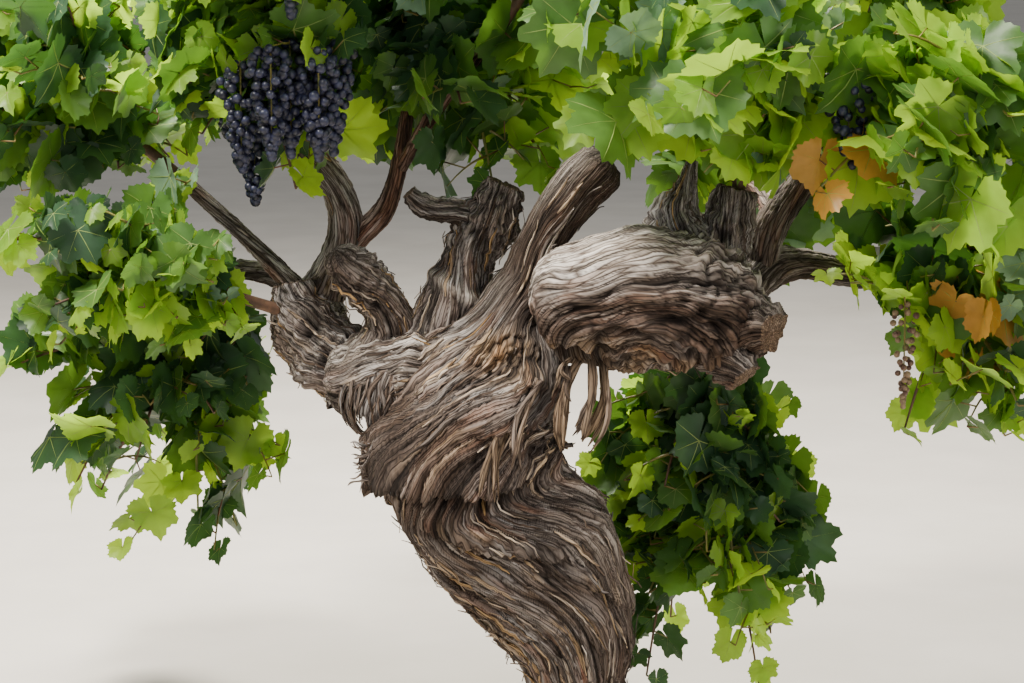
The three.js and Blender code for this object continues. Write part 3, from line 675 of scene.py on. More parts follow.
class Bark:
    """A limb's skin as a grid of points with the bark's relief and colours."""

    def __init__(self, name, stations):
        self.name = name
        line = Line(stations, ALONG if name in ("trunk", "burl") else ALONG * FINER_ALONG)
        keep = line.centre[:, 2] > FOOT
        self.run = line.run[keep]
        self.centre = line.centre[keep]
        self.radius = line.radius[keep]
        self.tangent = line.tangent[keep]
        normal = line.normal[keep]
        binormal = line.binormal[keep]
        thick = line.radius.max()
        spacing = ACROSS if thick > STOUT else ACROSS * FINER_ACROSS
        self.sides = int(np.clip(round(TAU * thick / spacing), *SIDES))
        self.angle = np.arange(self.sides) * TAU / self.sides
        self.way = around(normal, binormal, self.angle)
        self.length = line.length
        self.thick = thick
        self.shape()

    def grain(self):
        """How far the fibres have wound round the limb at each ring, in radians."""
        if self.name == "trunk":
            at, rate = zip(*GRAIN_RATES)
            rates = np.interp(self.run, at, rate)
            return np.cumsum(rates) * (self.run[1] - self.run[0])
        return -0.5 * GRAIN_TURN * self.run / self.length

    def swelling(self):
        """The slow lobes that the solid has too."""
        run = (self.run / (SOLID_TRUNK if self.name == "trunk" else self.length))[:, None]
        lump = LUMP.get(self.name, LUMP_ELSEWHERE)
        phase = len(self.name) * 1.7
        grain = self.angle[None] + GRAIN_TURN * run + phase
        lobes = 0.6 * np.sin(3 * grain) + 0.5 * np.sin(2 * grain - 9 * run)
        flare = 0
        if self.name == "trunk":
            flare = np.maximum(0, 1 - run / FLARE_SHARE) * np.cos(FLARE_LOBES * self.angle[None])
        return 1 + lump * (lobes + 0.4 * np.sin(17 * run + phase)) + FLARE_DEPTH * flare

    def rolled(self, turn, run):
        """Places on a roll as thick as the limb, where what is noise on them has no seam."""
        middle = self.thick * ROLLED
        return np.stack([middle * np.cos(turn), middle * np.sin(turn), run], -1)

    def shape(self):
        """Moves the skin out by the relief, and colours it by what stands out and what is sunk, with
        painted shade in hollows, creases and grooves and under lips.
        """
        radius = self.radius[:, None] * self.swelling()
        plain = self.centre[:, None] + self.way * radius[..., None]
        seed = sum(ord(letter) for letter in self.name) % 50
        whorled = self.name in WHORLS
        turn = self.angle[None] - self.grain()[:, None]
        run = np.broadcast_to(self.run[:, None], turn.shape)
        flat = self.rolled(turn, run)
        size = np.clip(self.thick / FULL, 0.12, 1)
        wander = 0.26 * layered(flat / [120, 120, 230], 2, seed)
        wander = wander + 0.05 * noise(flat / [26, 26, 70], seed + 5)
        if whorled:
            turn, run = whorl(self.name, plain)
        turn = turn + wander * (WHORL_STRAYS if whorled else 1.0)
        out = droop = layer = 0
        deep, shade = dents(self.name, plain)
        folded, crest = folds(self.name, plain)
        lipped, groove = lips(self.name, plain)
        if self.name == "trunk":
            azimuth = np.degrees(np.arctan2(self.way[..., 1], self.way[..., 0]))
            ragged = 9 * noise(plain / [7, 7, 300], 41) + 8 * noise(plain / [24, 24, 300], 42)
            out, droop, wind, layer, shade = rolls(azimuth, plain[..., 2], ragged)
            out = out + swells(azimuth, plain[..., 2])
            turn = turn - wind
        girth = TAU * (WHORLS[self.name]["girth"] * WHORL_CROWDED if whorled else self.thick * ROLLED)
        plates = max(5, round(girth / PLATE))
        fine = max(9, round(girth / STRAND))
        plate, plate_own, plate_crack = strands(turn, run, plates, PLATE_LENGTH * size**0.5, seed, layer)
        strand, strand_own, strand_crack = strands(turn, run, fine, STRAND_LENGTH, seed + 7, layer)
        bound = self.rolled(turn, run / 7)
        ridge = layered(bound / (15 if whorled else 24), 2, seed + 3)
        fuzz = noise(bound / 3.4, seed + 4)
        coarse = RIDGES * size**0.8 * ridge + PLATES * size**0.7 * plate
        lift = self.roughness() * (coarse + STRANDS * size**0.4 * strand + FUZZ * fuzz)
        lift = lift + HILLS * size * noise(plain / 60, seed + 6)
        knotty = knots(self.name, plain)
        corky = self.corkiness() + knotty
        lumps = cork(plain, self.thick)
        lift = lift * (1 - 0.45 * knotty) + out - deep + folded + lipped + corky * lumps
        self.points = plain + self.way * lift[..., None]
        self.points[..., 2] -= droop
        self.turn = turn
        self.fibre = self.rolled(turn, run)
        crack = np.maximum(plate_crack, strand_crack * 0.7)
        self.paint(plain, ridge, plate, strand, plate_own, strand_own, crack, seed)
        crease_shade = np.clip(corky, 0, 1) * smooth(-lumps / 7 - 0.1)
        self.tone = mixed(self.tone, SILVER, 0.6 * crest)
        # Painted shade: darker in the cork's creases, in the hollows, under the rolls' lips and in the
        # grooves under the arched lips.
        self.tone = mixed(self.tone, CRACK_AND_SHADE, np.maximum(0.8 * crease_shade, 0.85 * np.maximum(shade, groove)))
        if self.name == "trunk":
            self.points[0, :, 2] = 0
            self.points[..., 2] = np.maximum(self.points[..., 2], 0)

    def corkiness(self):
        """Where the bark is crumbled into corky lumps: from 0 to 1 along the limb."""
        at, weight = zip(*CORKY.get(self.name, CORKY_ELSEWHERE))
        return np.interp(self.run / self.length, at, weight)[:, None]

    def worn_at(self, ring):
        """How likely a strip has been worn off: nearly always on the leader."""
        return 0.88 * float(smooth((self.run[ring] - 620) / 60)) if self.name == "trunk" else 0.0

    def roughness(self):
        """How deep the relief is: the burl's top and the leader are worn smoother."""
        if self.name == "burl":
            near = smooth((0.72 - self.run / self.length) / 0.2)[:, None]
            return 1.15 - 0.92 * smooth(self.way[..., 2] / 0.6) * near
        if self.name == "trunk":
            return (1.15 - 0.82 * smooth((self.run - 640) / 130))[:, None]
        if self.name in CANES:
            return 0.25
        if self.name in YOUNGER:
            return 0.7
        return 1.15

    def paint(self, plain, ridge, plate, strand, plate_own, strand_own, crack, seed):
        """The colour of the bark at each point, with painted shade in its cracks and painted highlights on
        its tops.
        """
        patch = layered(plain / 75, 2, seed + 8)
        tint = mixed(BROWN, GREY, 0.15 + 0.75 * strand_own + 0.4 * patch)
        tint = mixed(tint, REDDISH, 1.6 * (plate_own - 0.62) + 0.7 * noise(plain / 50, seed + 9) - 0.1)
        tint = mixed(tint, OCHRE, 2.4 * (strand_own * (0.6 + 0.5 * noise(plain / 60, seed + 10)) - 0.56))
        tint = mixed(tint, OCHRE, self.ochre_and_bounce_light(plain))
        if self.name in CANES:
            tint = mixed(tint, CANE, 0.6)
        tint = mixed(tint, GREY * 1.15, ASHEN.get(self.name, 0))
        tint = mixed(tint, UMBER, self.umber())
        # Silver grey on raised strands, where the fibres are weathered, and a painted highlight on the tops
        # that face up.
        worn = 0.65 * smooth(self.way[..., 2] * 1.2 - 0.1) + 0.42 * smooth((strand + 0.6 * plate) - 0.35)
        tint = mixed(tint, SILVER, worn * (0.75 + 0.4 * patch) + self.pale_crown_and_highlight())
        # Painted shadow under the burl.
        tint = mixed(tint, CRACK_AND_SHADE, self.painted_burl_shadow(plain))
        # The cracks and low places of the relief are darker: partly the bark's own darker colour there,
        # partly painted shade.
        sunk = smooth(0.62 + 0.55 * strand + 0.7 * plate + 0.5 * ridge - 0.55 * crack)
        self.tone = mixed(CRACK_AND_SHADE, tint, 0.12 + 0.95 * sunk)

    def ochre_and_bounce_light(self, plain):
        """A yellow-brown patch where the trunk meets the burl, and a warm painted bounce light on the
        burl's underside.
        """
        if self.name == "burl":
            # Painted warm bounce light on the burl's underside.
            return 0.5 * smooth((-0.25 - self.way[..., 2]) / 0.5) * smooth(0.5 + noise(plain / 34, 77))
        if self.name != "trunk":
            return np.zeros(plain.shape[:2])
        return 0.45 * spot(plain, *OCHRE_PATCH, 1.25)

    def umber(self):
        """Where the bark is dark: painted shade on the burl below its top, on the leader, on the collar and
        on the trunk's lower right side; the burl also darkens towards its far end, and other limbs by their
        listed share.
        """
        if self.name == "burl":
            up = self.way[..., 2]
            # Painted shade on the burl wherever it faces away from its top.
            front = 0.8 * smooth((0.5 - up) / 0.5) * (1 - 0.6 * smooth((-0.35 - up) / 0.3))
            return front + 0.35 * smooth((self.run / self.length - 0.6) / 0.15)[:, None]
        if self.name == "trunk":
            # Painted shade on the leader and on the collar.
            leader = 0.8 * smooth((self.run - 690) / 90)
            collar = 0.6 * smooth((self.run - 440) / 60) * smooth((640 - self.run) / 80)
            # Painted shade on the trunk's lower right side.
            shaded = 0.75 * smooth((self.way[..., 0] - 0.1) / 0.6) * smooth((480 - self.run) / 80)[:, None]
            return (leader + collar)[:, None] + shaded
        return UMBERED.get(self.name, 0)

    def painted_burl_shadow(self, plain):
        """A painted shadow: the trunk's bark is darker under the burl."""
        if self.name != "trunk":
            return 0.0
        return 0.45 * spot(plain, *BURL_SHADOW, 1.45)

    def pale_crown_and_highlight(self):
        """The burl's crown is paler where it faces up: wood greyed by the sun, and a painted highlight."""
        if self.name != "burl":
            return 0.0
        near = smooth((0.8 - self.run / self.length) / 0.3)[:, None]
        return 0.22 * smooth((self.way[..., 2] - 0.25) / 0.6) * near

    def tip_rings(self):
        """Rings that close the far end, as shares of its radius and how far on they lie."""
        if self.name in HOLLOW:
            return [(0.93, 0.1), (0.8, 0.02), (0.66, -0.25), (0.45, -0.6), (0.2, -0.8), (0.02, -0.85)]
        if self.name in ROUNDED:
            return [(0.95, 0.16), (0.84, 0.32), (0.66, 0.45), (0.42, 0.53), (0.2, 0.56), (0.02, 0.57)]
        return [(0.97, 0.05), (0.86, 0.08), (0.66, 0.06), (0.42, 0.09), (0.2, 0.04), (0.02, 0.03)]

    def rows(self, first, last):
        """The points, triangles, colours and fibre places of some of the rings, open at both ends."""
        return (
            self.points[first:last].reshape(-1, 3),
            grid_triangles(last - first, self.sides),
            self.tone[first:last].reshape(-1, 3),
            self.fibre[first:last].reshape(-1, 3),
        )

    def closed(self, first=0):
        """The points, triangles, colours and fibre places from a ring on, with the far end closed."""
        points = [*self.points[first:]]
        tones = [*self.tone[first:]]
        fibres = [*self.fibre[first:]]
        middle, onward, radius = self.centre[-1], self.tangent[-1], self.radius[-1]
        spread = self.points[-1] - middle
        for share, on in self.tip_rings():
            ring = middle + spread * share + onward * on * radius
            crumple = noise(ring / 9, 31)[:, None] * min(2.5, radius * 0.08)
            points.append(ring + onward * crumple)
            end = mixed(CRACK_AND_SHADE if self.name in HOLLOW else BROWN, CUT, 0.5 + 0.5 * noise(ring / 6, 33))
            tones.append(self.tone[-1] * 0.9 if self.name in ROUNDED else self.tone[-1] * 0.3 + end * 0.7)
            fibres.append(self.fibre[-1] * [share, share, 1] + [0, 0, 4])
        fan = np.arange(1, self.sides - 1)
        last_row = (len(points) - 1) * self.sides
        lid = np.stack([np.full_like(fan, last_row), last_row + fan, last_row + fan + 1], 1)
        triangles = np.concatenate([grid_triangles(len(points), self.sides), lid])
        return np.concatenate(points), triangles, np.concatenate(tones), np.concatenate(fibres)


ROUNDED = ("burl", "left_arm", "left_spur", "trunk")  # the limbs whose far end is round
HOLLOW = ("left_head",)  # and those whose far end has rotted out


def bark_lines():
    """The limbs to cover with bark. The trunk's bark runs on up the leader without a seam."""
    lines = {name: stations for name, stations in LIMBS.items() if name != "leader_stub"}
    lines["trunk"] = LIMBS["trunk"][:-1] + [NECK] + LIMBS["leader_stub"][1:]
    return lines


def bark_piece(name, skin, material):
    """The piece of bark that stands for a limb."""
    points, triangles, tone, fibre = skin
    piece("bark_" + name, points, triangles, [material], (name,), tone=tone, fibre=fibre)


def cover_with_bark(material):
    """One piece of bark for each limb."""
    skins = {}
    for name, stations in bark_lines().items():
        skin = Bark(name, stations)
        skins[name] = skin
        if name == "trunk":
            neck = int(np.searchsorted(skin.centre[:, 2], NECK[2]))
            bark_piece("trunk", skin.rows(0, neck + 1), material)
            bark_piece("leader_stub", skin.closed(neck), material)
        else:
            bark_piece(name, skin.closed(), material)
    return skins


# Peeling strips

STRIP_SEED = 7
STRIP_JUMP = 16  # a strip's points lie no further apart, or it has lost its strand
# How many strips are tried on each limb
STRIPS = {
    "trunk": 800, "burl": 170, "left_arm": 110, "left_head": 90, "left_spur": 40, "middle_bough": 70,
    "spike_spur": 14, "upper_stub": 14, "left_upright": 8,
}


def ribbon(points, across, outward, widths, thick, own):
    """A closed thin strip through points, with a width at each, lying square to outward.

    own is a number of its own, for its fibres. Gives its points, triangles and fibre places.
    """
    half = across * widths[:, None] / 2
    over = outward * thick / 2
    corners = ((-1, -1), (1, -1), (1, 1), (-1, 1))
    rings = np.stack([points + half * side + over * face for side, face in corners], 1)
    triangles = grid_triangles(len(points), 4)
    last = (len(points) - 1) * 4
    caps = [(0, 2, 1), (0, 3, 2), (last, last + 1, last + 2), (last, last + 2, last + 3)]
    run = np.concatenate([[0], np.cumsum(np.linalg.norm(np.diff(points, axis=0), axis=1))])
    side = widths[:, None] * np.array([-0.5, 0.5, 0.5, -0.5])
    deep = np.broadcast_to([0, 0, thick, thick], side.shape)
    fibre = np.stack([side + 97 * own, deep + 531 * own, np.broadcast_to(run[:, None], side.shape)], -1)
    return rings.reshape(-1, 3), np.concatenate([triangles, caps]), fibre.reshape(-1, 3)


def peel(skin, rng):
    """A strip that follows the fibres from a place on a limb, and curls off it at one or both ends."""
    rings, sides = skin.turn.shape
    long = int(rng.uniform(10, 34))
    if rings < long + 6:
        long = max(4, rings - 6)
    start = int(rng.integers(2, rings - long - 1))
    side = int(rng.integers(sides))
    if rng.random() < skin.worn_at(start):
        return None
    ring = np.arange(start, start + long, 2)
    wanted = skin.turn[start, side]
    off = (skin.turn[ring] - wanted + math.pi) % TAU - math.pi
    chosen = np.abs(off).argmin(1)
    points = skin.points[ring, chosen]
    outward = skin.way[ring, chosen]
    if len(points) < 3 or np.linalg.norm(np.diff(points, axis=0), axis=1).max() > STRIP_JUMP:
        return None
    share = np.linspace(0, 1, len(ring))
    free = rng.uniform(3, 15) * (skin.thick / FULL) ** 0.5
    other = rng.uniform(0.5, 4)
    lift = 0.8 + free * smooth((share - rng.uniform(0.5, 0.75)) / 0.5) ** 1.3
    lift = lift + other * smooth((0.2 - share) / 0.3)
    if rng.random() < 0.5:
        lift = lift[::-1]
    points = points + outward * lift[:, None]
    along = unit(np.gradient(points, axis=0))
    across = unit(np.cross(along, outward))
    width = rng.uniform(1.6, 6.5) * (skin.thick / FULL) ** 0.35
    widths = width * (0.25 + 0.75 * smooth(share / 0.25) * smooth((1 - share) / 0.25))
    own = rng.random()
    strip = ribbon(points, across, unit(np.cross(across, along)), widths, rng.uniform(0.7, 1.4), own)
    tint = mixed(BROWN, GREY, own) if own < 0.6 else mixed(OCHRE, SILVER, rng.random() * 0.8)
    return strip, tint * (0.6 + 0.4 * rng.random())


# Bundles of strips that have come away and hang: where each is held, where its free end is, how many strips
# it has, how wide they are at most, how far they stray and how far the bundle bows
BUNDLES = [
    ((-20, -116, 584), (-44, -124, 452), 6, 13, 4, 12),
    ((-2, -118, 584), (-22, -128, 478), 6, 14, 4, -9),
    ((12, -116, 582), (-12, -124, 462), 6, 14, 4, -14),
    ((-34, -114, 580), (-40, -122, 520), 4, 9, 8, 4),
    ((-90, -112, 556), (-140, -172, 398), 11, 12, 6, 13),
    ((-74, -108, 552), (-116, -170, 440), 7, 9, 7, 8),
]
BULGE = 9  # how far a strip stands out from the straight line between its ends
# Bark that drapes the end of the left arm, and frayed bark at the left of the main roll
CURTAIN = {"middle": (-288, 24, 517), "radius": 65, "strips": 120}
SHREDS = {"held": (-310, -44, 436), "spread": (8, 36, 38), "strips": 26}


def hang(held, free, width, bow, rng):
    """A strip that hangs from one end."""
    held, free = np.array(held, float), np.array(free, float)
    share = np.linspace(0, 1, 12)
    side = unit(np.cross(free - held, FRONT))
    points = held + (free - held) * share[:, None]
    points += side * (bow * np.sin(share * math.pi) + 1.5 * np.sin(share * 7 + rng.random() * 6))[:, None]
    points += FRONT * (BULGE * np.sin(share * math.pi))[:, None]
    along = unit(np.gradient(points, axis=0))
    spin = rng.uniform(-0.5, 0.5) * share + rng.uniform(-0.3, 0.3)
    flat = unit(np.cross(along, FRONT))
    across = flat * np.cos(spin)[:, None] + unit(np.cross(along, flat)) * np.sin(spin)[:, None]
    widths = width * (0.85 + 0.2 * np.sin(share * 9 + bow)) * (1 - 0.85 * smooth((share - 0.8) / 0.2))
    return ribbon(points, across, unit(np.cross(across, along)), widths, 1.3, rng.random())


def bundled(held, free, count, widest, stray, bow, rng):
    """The strips of one bundle, each with its colour."""
    made = []
    for _ in range(count):
        start = np.array(held) + rng.normal(size=3) * stray * 0.5
        end = np.array(free) + rng.normal(size=3) * stray + [0, 0, rng.uniform(0, 5) * stray]
        strip = hang(start, end, rng.uniform(0.4, 1) * widest, bow + rng.uniform(-1, 1) * stray, rng)
        tint = mixed(mixed(OCHRE, BROWN, rng.uniform(0.4, 1)), GREY, 0.25)
        made.append((strip, tint * rng.uniform(0.6, 0.95)))
    return made


def drape(rng):
    """A strip that runs over the end of the left arm and hangs down it."""
    turn = math.radians(rng.uniform(-200, -50))
    lowest = rng.uniform(-66, -8)
    highest = rng.uniform(60, 88)
    share = np.linspace(0, 1, 14)
    rise = np.radians(highest + (lowest - highest) * share)
    turns = turn + math.radians(rng.uniform(-8, 8)) * share + 0.05 * np.sin(share * 11 + turn * 9)
    way = np.stack([np.cos(rise) * np.cos(turns), np.cos(rise) * np.sin(turns), np.sin(rise)], 1)
    away = CURTAIN["radius"] + rng.uniform(-5, 4) + 5 * share**3
    points = np.array(CURTAIN["middle"], float) + way * np.broadcast_to(away, share.shape)[:, None]
    points[:, 0] += rng.uniform(10, 70) * (1 - share) ** 2
    along = unit(np.gradient(points, axis=0))
    across = unit(np.cross(along, way))
    tapered = (0.45 + 0.55 * smooth(share / 0.4)) * (1 - 0.8 * smooth((share - 0.75) / 0.25))
    widths = rng.uniform(3, 8) * tapered
    return ribbon(points, across, unit(np.cross(across, along)), widths, 1.6, rng.random())


def shred(rng):
    """A short frayed strip that sticks out to the left of the trunk's main roll."""
    held = np.array(SHREDS["held"]) + np.array(SHREDS["spread"]) * rng.uniform(-1, 1, 3)
    free = held + [rng.uniform(-34, -8), rng.uniform(-14, 2), rng.uniform(-30, 14)]
    return hang(held, free, rng.uniform(1.5, 4), rng.uniform(-9, 9), rng)


def peeling_strips(skins, material):
    """All the strips that peel, joined into one piece."""
    rng = np.random.default_rng(STRIP_SEED)
    strips = [peel(skins[name], rng) for name, count in STRIPS.items() for _ in range(count)]
    strips = [made for made in strips if made]
    strips += [strip for bundle in BUNDLES for strip in bundled(*bundle, rng)]
    strips += [(drape(rng), mixed(GREY, BROWN, rng.random()) * 0.9) for _ in range(CURTAIN["strips"])]
    strips += [(shred(rng), mixed(GREY, BROWN, rng.random())) for _ in range(SHREDS["strips"])]
    heap = Heap()
    for (points, triangles, _), _ in strips:
        heap.add(np.maximum(points, [-np.inf, -np.inf, 0.5]), triangles)
    tone = np.concatenate([np.tile(tint, (len(strip[0]), 1)) for strip, tint in strips])
    fibre = np.concatenate([strip[2] for strip, _ in strips])
    heap.piece("peeling_strips", [material], "bark", tone=tone, fibre=fibre)


# Foliage

WOOD = []
for stations in LIMBS.values():
    line = Line(stations, 14)
    WOOD.append(np.concatenate([line.centre, line.radius[:, None]], 1))
WOOD = np.concatenate(WOOD)


def clear_of_wood(points, margin):
    """True where every point lies at least margin outside the limbs."""
    away = np.linalg.norm(points[:, None] - WOOD[None, :, :3], axis=-1) - WOOD[None, :, 3]
    return away.min() > margin


BOX_SLACK = 2  # how far a leaf's middle may lie out of the solids' box
BOX = np.array(cad_box) / MM + np.array([[-BOX_SLACK], [BOX_SLACK]])


def bezier(a, b, c, t):
    """Points of a curve from a to c that bends towards b."""
    t = np.asarray(t, float)[..., None]
    return a * (1 - t) ** 2 + b * 2 * t * (1 - t) + c * t**2


# Where more bunches hang in sight
FRUITFUL = [
    (-452, -110, 1085), (-412, -100, 1070), (-470, -90, 1000), (-386, -90, 1010), (-540, -60, 850),
    (-305, -60, 1000), (250, -190, 935),
]
# Where no leaf hangs: in front of the leader's tip, the spike, the sparse bunch and the bunches in sight
OPEN = [
    ((0, -120, 846), (62, 170, 46)), ((126, -120, 826), (52, 170, 58)), ((416, -150, 590), (40, 130, 84)),
    ((-436, -190, 990), (56, 120, 66)), ((-540, -150, 790), (34, 100, 50)),
    ((-305, -150, 935), (30, 100, 52)), ((250, -290, 870), (28, 90, 48)),
]
BARE = [((394, -20, 540), (96, 340, 100))]  # where no shoot grows either: round the sparse bunch


def in_the_open(points, places=OPEN + BARE):
    """True where any point lies where no leaf hangs."""
    return any((((points - middle) / reach) ** 2).sum(-1).min() < 1 for middle, reach in places)


def in_space(mass, points, slack=0.0):
    """True where points lie in a mass's own space: over the ground, in reach, nearest to its middle."""
    centre = np.array(mass["centre"], float)
    share = (points - centre) / (np.array(mass["reach"], float) + slack)
    inside = ((share**2).sum(-1) <= 1) & (points[..., 2] >= GROUND_CLEAR)
    inside &= (points > BOX[0]).all(-1) & (points < BOX[1]).all(-1)
    for other in MASSES:
        if other is mass:
            continue
        across = np.array(other["centre"], float) - centre
        far = np.linalg.norm(across)
        inside &= (points - centre) @ (across / far) < far / 2 + slack
    return inside


def stem_of(mass):
    """The curve from inside a mass's bough to the middle of the mass."""
    stations = np.array(LIMBS[mass["bough"]], float)[:, :3]
    at = np.array([mass["at"], mass["at"] - 0.001])
    start, before = spline(stations, at)
    leaving = unit(start - before)
    centre = np.array(mass["centre"], float)
    if mass["at"] == 1:
        start = start - leaving * STEM_RADIUS
    else:
        leaving = unit(centre - start)
    bend = start + leaving * np.linalg.norm(centre - start) * 0.45
    return start, bend, centre


CUT_BACK = (1, 0.85, 0.7, 0.55)  # the shares that a shoot is cut to until it has room


def shoot_end(mass, turn, height, share):
    """The far end of a shoot: out from the middle of the mass, most of the way to where its space ends."""
    centre = np.array(mass["centre"], float)
    level = math.sqrt(max(0, 1 - height * height))
    way = np.array([level * math.cos(turn), level * math.sin(turn), height])
    steps = np.arange(1, 60) * END_STEP
    inside = in_space(mass, centre + way * steps[:, None])
    reach = END_STEP * (np.argmin(inside) if not inside.all() else len(steps))
    return centre + way * reach * share


def finer_shoots(mass):
    """How many more shoots a mass has here."""
    return FULLER.get(mass["name"], FINER_SHOOTS)


def has_room(mass, points):
    """True where a shoot can grow through points."""
    return in_space(mass, points).all() and clear_of_wood(points, 4) and not in_the_open(points, BARE)


def grow_shoot(mass, order, random):
    """One shoot by the solids' rule, as its three guiding points, or None where wood is in its way."""
    if order < SHOOTS:
        height = 1 - (2 * (order + 0.5)) / SHOOTS
        share = SHOOT_SHARE
    else:
        height = 0.9 - 1.87 * (order - SHOOTS + 0.5) / finer_shoots(mass)
        share = FINER_SHARE * (1 - RAGGED.get(mass["name"], RAGGED_ELSEWHERE) * random())
    end = shoot_end(mass, order * GOLDEN_TURN + random(), height, share)
    bare = STEM_BARE if order < SHOOTS else FINER_BARE.get(mass["name"], STEM_BARE)
    start = bezier(*mass["stem"], bare + (1 - bare) * random())
    bend = (start + end) / 2 + UP * ARCH * np.linalg.norm(end - start)
    for reached in CUT_BACK:
        points = bezier(start, bend, end, np.linspace(0.3, 1, 6) * reached)
        if has_room(mass, points):
            run = np.linalg.norm(end - start) * reached
            return {"guide": (start, bend, end), "reached": reached, "run": run}
    return None


def shoot_points(shoot, t):
    """Points along a shoot."""
    return bezier(*shoot["guide"], np.asarray(t) * shoot["reached"])


LEAST_RUN = 90  # a shoot that is shorter bears no side shoots
SIDE_SHOOTS = (0.2, 0.4, 0.58, 0.76)  # the shares of a shoot where others leave it


def side_shoots(mass, shoot, rng):
    """Short shoots that leave a shoot to both sides."""
    made = []
    if shoot["run"] < LEAST_RUN:
        return made
    for order, t in enumerate(SIDE_SHOOTS):
        hand = 1 if order % 2 else -1
        t = t + rng.uniform(-0.07, 0.07)
        start, ahead = shoot_points(shoot, [t, t + 0.03])
        along = unit(ahead - start)
        side = unit(np.cross(along, UP) + 1e-6)
        way = along * 0.5 + side * hand * 0.9 + UP * rng.uniform(-0.25, 0.5)
        way = unit(way + rng.normal(size=3) * 0.15)
        long = shoot["run"] * rng.uniform(0.3, 0.48)
        end = start + way * long - UP * long * 0.12
        bend = start + way * long * 0.5 + UP * long * 0.12
        if has_room(mass, bezier(start, bend, end, np.linspace(0.3, 1, 4))):
            made.append({"guide": (start, bend, end), "reached": 1, "run": long})
    return made


def twig(points, radii, sides):
    """A round twig through points."""
    along = unit(np.gradient(points, axis=0))
    one = carried(along)
    two = np.cross(along, one)
    way = around(one, two, np.arange(sides) * TAU / sides)
    rings = points[:, None] + way * np.asarray(radii)[:, None, None]
    triangles = grid_triangles(len(points), sides)
    last = (len(points) - 1) * sides
    caps = [(0, k + 1, k) for k in range(1, sides - 1)]
    caps += [(last, last + k, last + k + 1) for k in range(1, sides - 1)]
    return rings.reshape(-1, 3), np.concatenate([triangles, np.array(caps)])


# Leaves

LEAF_STEPS = 24  # to each side of the tip
LEAF_TURN = math.radians(172 / LEAF_STEPS)
LOBED = [  # the leaf's outline: how far it reaches at each angle from its tip, in degrees
    (0, 1.0), (9, 0.9), (20, 0.74), (28, 0.7), (38, 0.8), (49, 0.94), (60, 0.82), (72, 0.67),
    (80, 0.66), (90, 0.75), (98, 0.82), (118, 0.72), (140, 0.62), (158, 0.55), (172, 0.4),
]
VEIN_STEPS = (-14, -7, 0, 7, 14)
RINGS = (0.36, 0.7, 1.0)
VEIN_WIDTH = 0.013
VEIN_DEPTH = 0.012
SHAPES = 12  # of leaf
LEAF_SEED = 100
LEAF_TRIES = 4  # to find room for a leaf
LEAF_STALK = ((1.5, 1.2), 3)  # its radius at both ends, and its sides


def leaf_bend(x, y, way):
    """How far a leaf's sheet rises from flat at a place on it, for one of its shapes."""
    fold, droop, cup, wave, phase = way
    reach = np.hypot(x, y)
    turn = np.arctan2(x, y)
    pucker = 0.035 * np.cos(turn * 7 + phase) * reach
    ripple = wave * reach**2 * np.sin(3 * turn + phase)
    return fold * np.abs(x) - droop * y * np.abs(y) - cup * x * x + ripple + pucker


# How far a leaf is folded, droops, is cupped and waves, and where its waves start
BENDS = ((-0.3, 0.25), (0.0, 0.4), (-0.15, 0.35), (-0.12, 0.12), (0, TAU))


def blade_of(outline, steps, way):
    """The points and triangles of a leaf's blade, as a fan and two rings round it."""
    rows = [
        (steps[::4], RINGS[0] * outline[::4] ** 0.5),
        (steps[::2], RINGS[1] * outline[::2]),
        (steps, outline),
    ]
    flat = [np.array([[0.0, 0.0]])]
    for step, far in rows:
        turn = step * LEAF_TURN
        flat.append(np.stack([far * np.sin(turn), far * np.cos(turn)], 1))
    flat = np.concatenate(flat)
    z = leaf_bend(flat[:, 0], flat[:, 1], way)
    triangles = [(0, 1 + k, 2 + k) for k in range(len(rows[0][0]) - 1)]
    first = 1
    for row in (0, 1):
        following = first + len(rows[row][0])
        for k in range(len(rows[row][0]) - 1):
            a = first + k
            b = following + 2 * k
            triangles += [(a, b, b + 1), (a, b + 1, a + 1), (a + 1, b + 1, b + 2)]
        first = following
    return np.concatenate([flat, z[:, None]], 1), np.array(triangles)


def veins_of(outline, way):
    """The points and triangles of a leaf's veins, thin wedges that run out from its root."""
    veins = []
    triangles = []
    for vein in VEIN_STEPS:
        turn = vein * LEAF_TURN
        far = outline[vein + LEAF_STEPS]
        reaches = np.array([0.0, RINGS[0] * far**0.5, RINGS[1] * far, 0.97 * far])
        line = np.stack([reaches * math.sin(turn), reaches * math.cos(turn)], 1)
        line = np.concatenate([line, leaf_bend(line[:, 0], line[:, 1], way)[:, None]], 1)
        side = np.array([math.cos(turn), -math.sin(turn), 0])
        base = sum(len(v) for v in veins)
        for k in range(3):
            wide = VEIN_WIDTH * (1 - 0.28 * k)
            veins.append(line[k] + np.array([side * wide, -side * wide, [0, 0, VEIN_DEPTH]]))
        veins.append(line[3:4])
        for u, v in ((0, 2), (2, 1)):
            for a in (base, base + 3):
                triangles += [(a + u, a + v, a + v + 3), (a + u, a + v + 3, a + u + 3)]
            triangles.append((base + 6 + u, base + 6 + v, base + 9))
    return np.concatenate(veins), np.array(triangles)


def leaf_shape(number):
    """One leaf in its own frame, a unit from its root to its tip: the blade and its veins."""
    rng = np.random.default_rng(LEAF_SEED + number)
    way = [rng.uniform(*span) for span in BENDS]
    deep = rng.uniform(0.6, 1.2)
    steps = np.arange(-LEAF_STEPS, LEAF_STEPS + 1)
    at, reach = zip(*LOBED)
    outline = 1 - (1 - np.interp(np.abs(np.degrees(steps * LEAF_TURN)), at, reach)) * deep
    outline = outline + 0.05 * (rng.random(len(steps)) - 0.5)
    outline = outline * np.where(steps % 2, 0.95, 1.04)
    return *blade_of(outline, steps, way), *veins_of(outline, way)


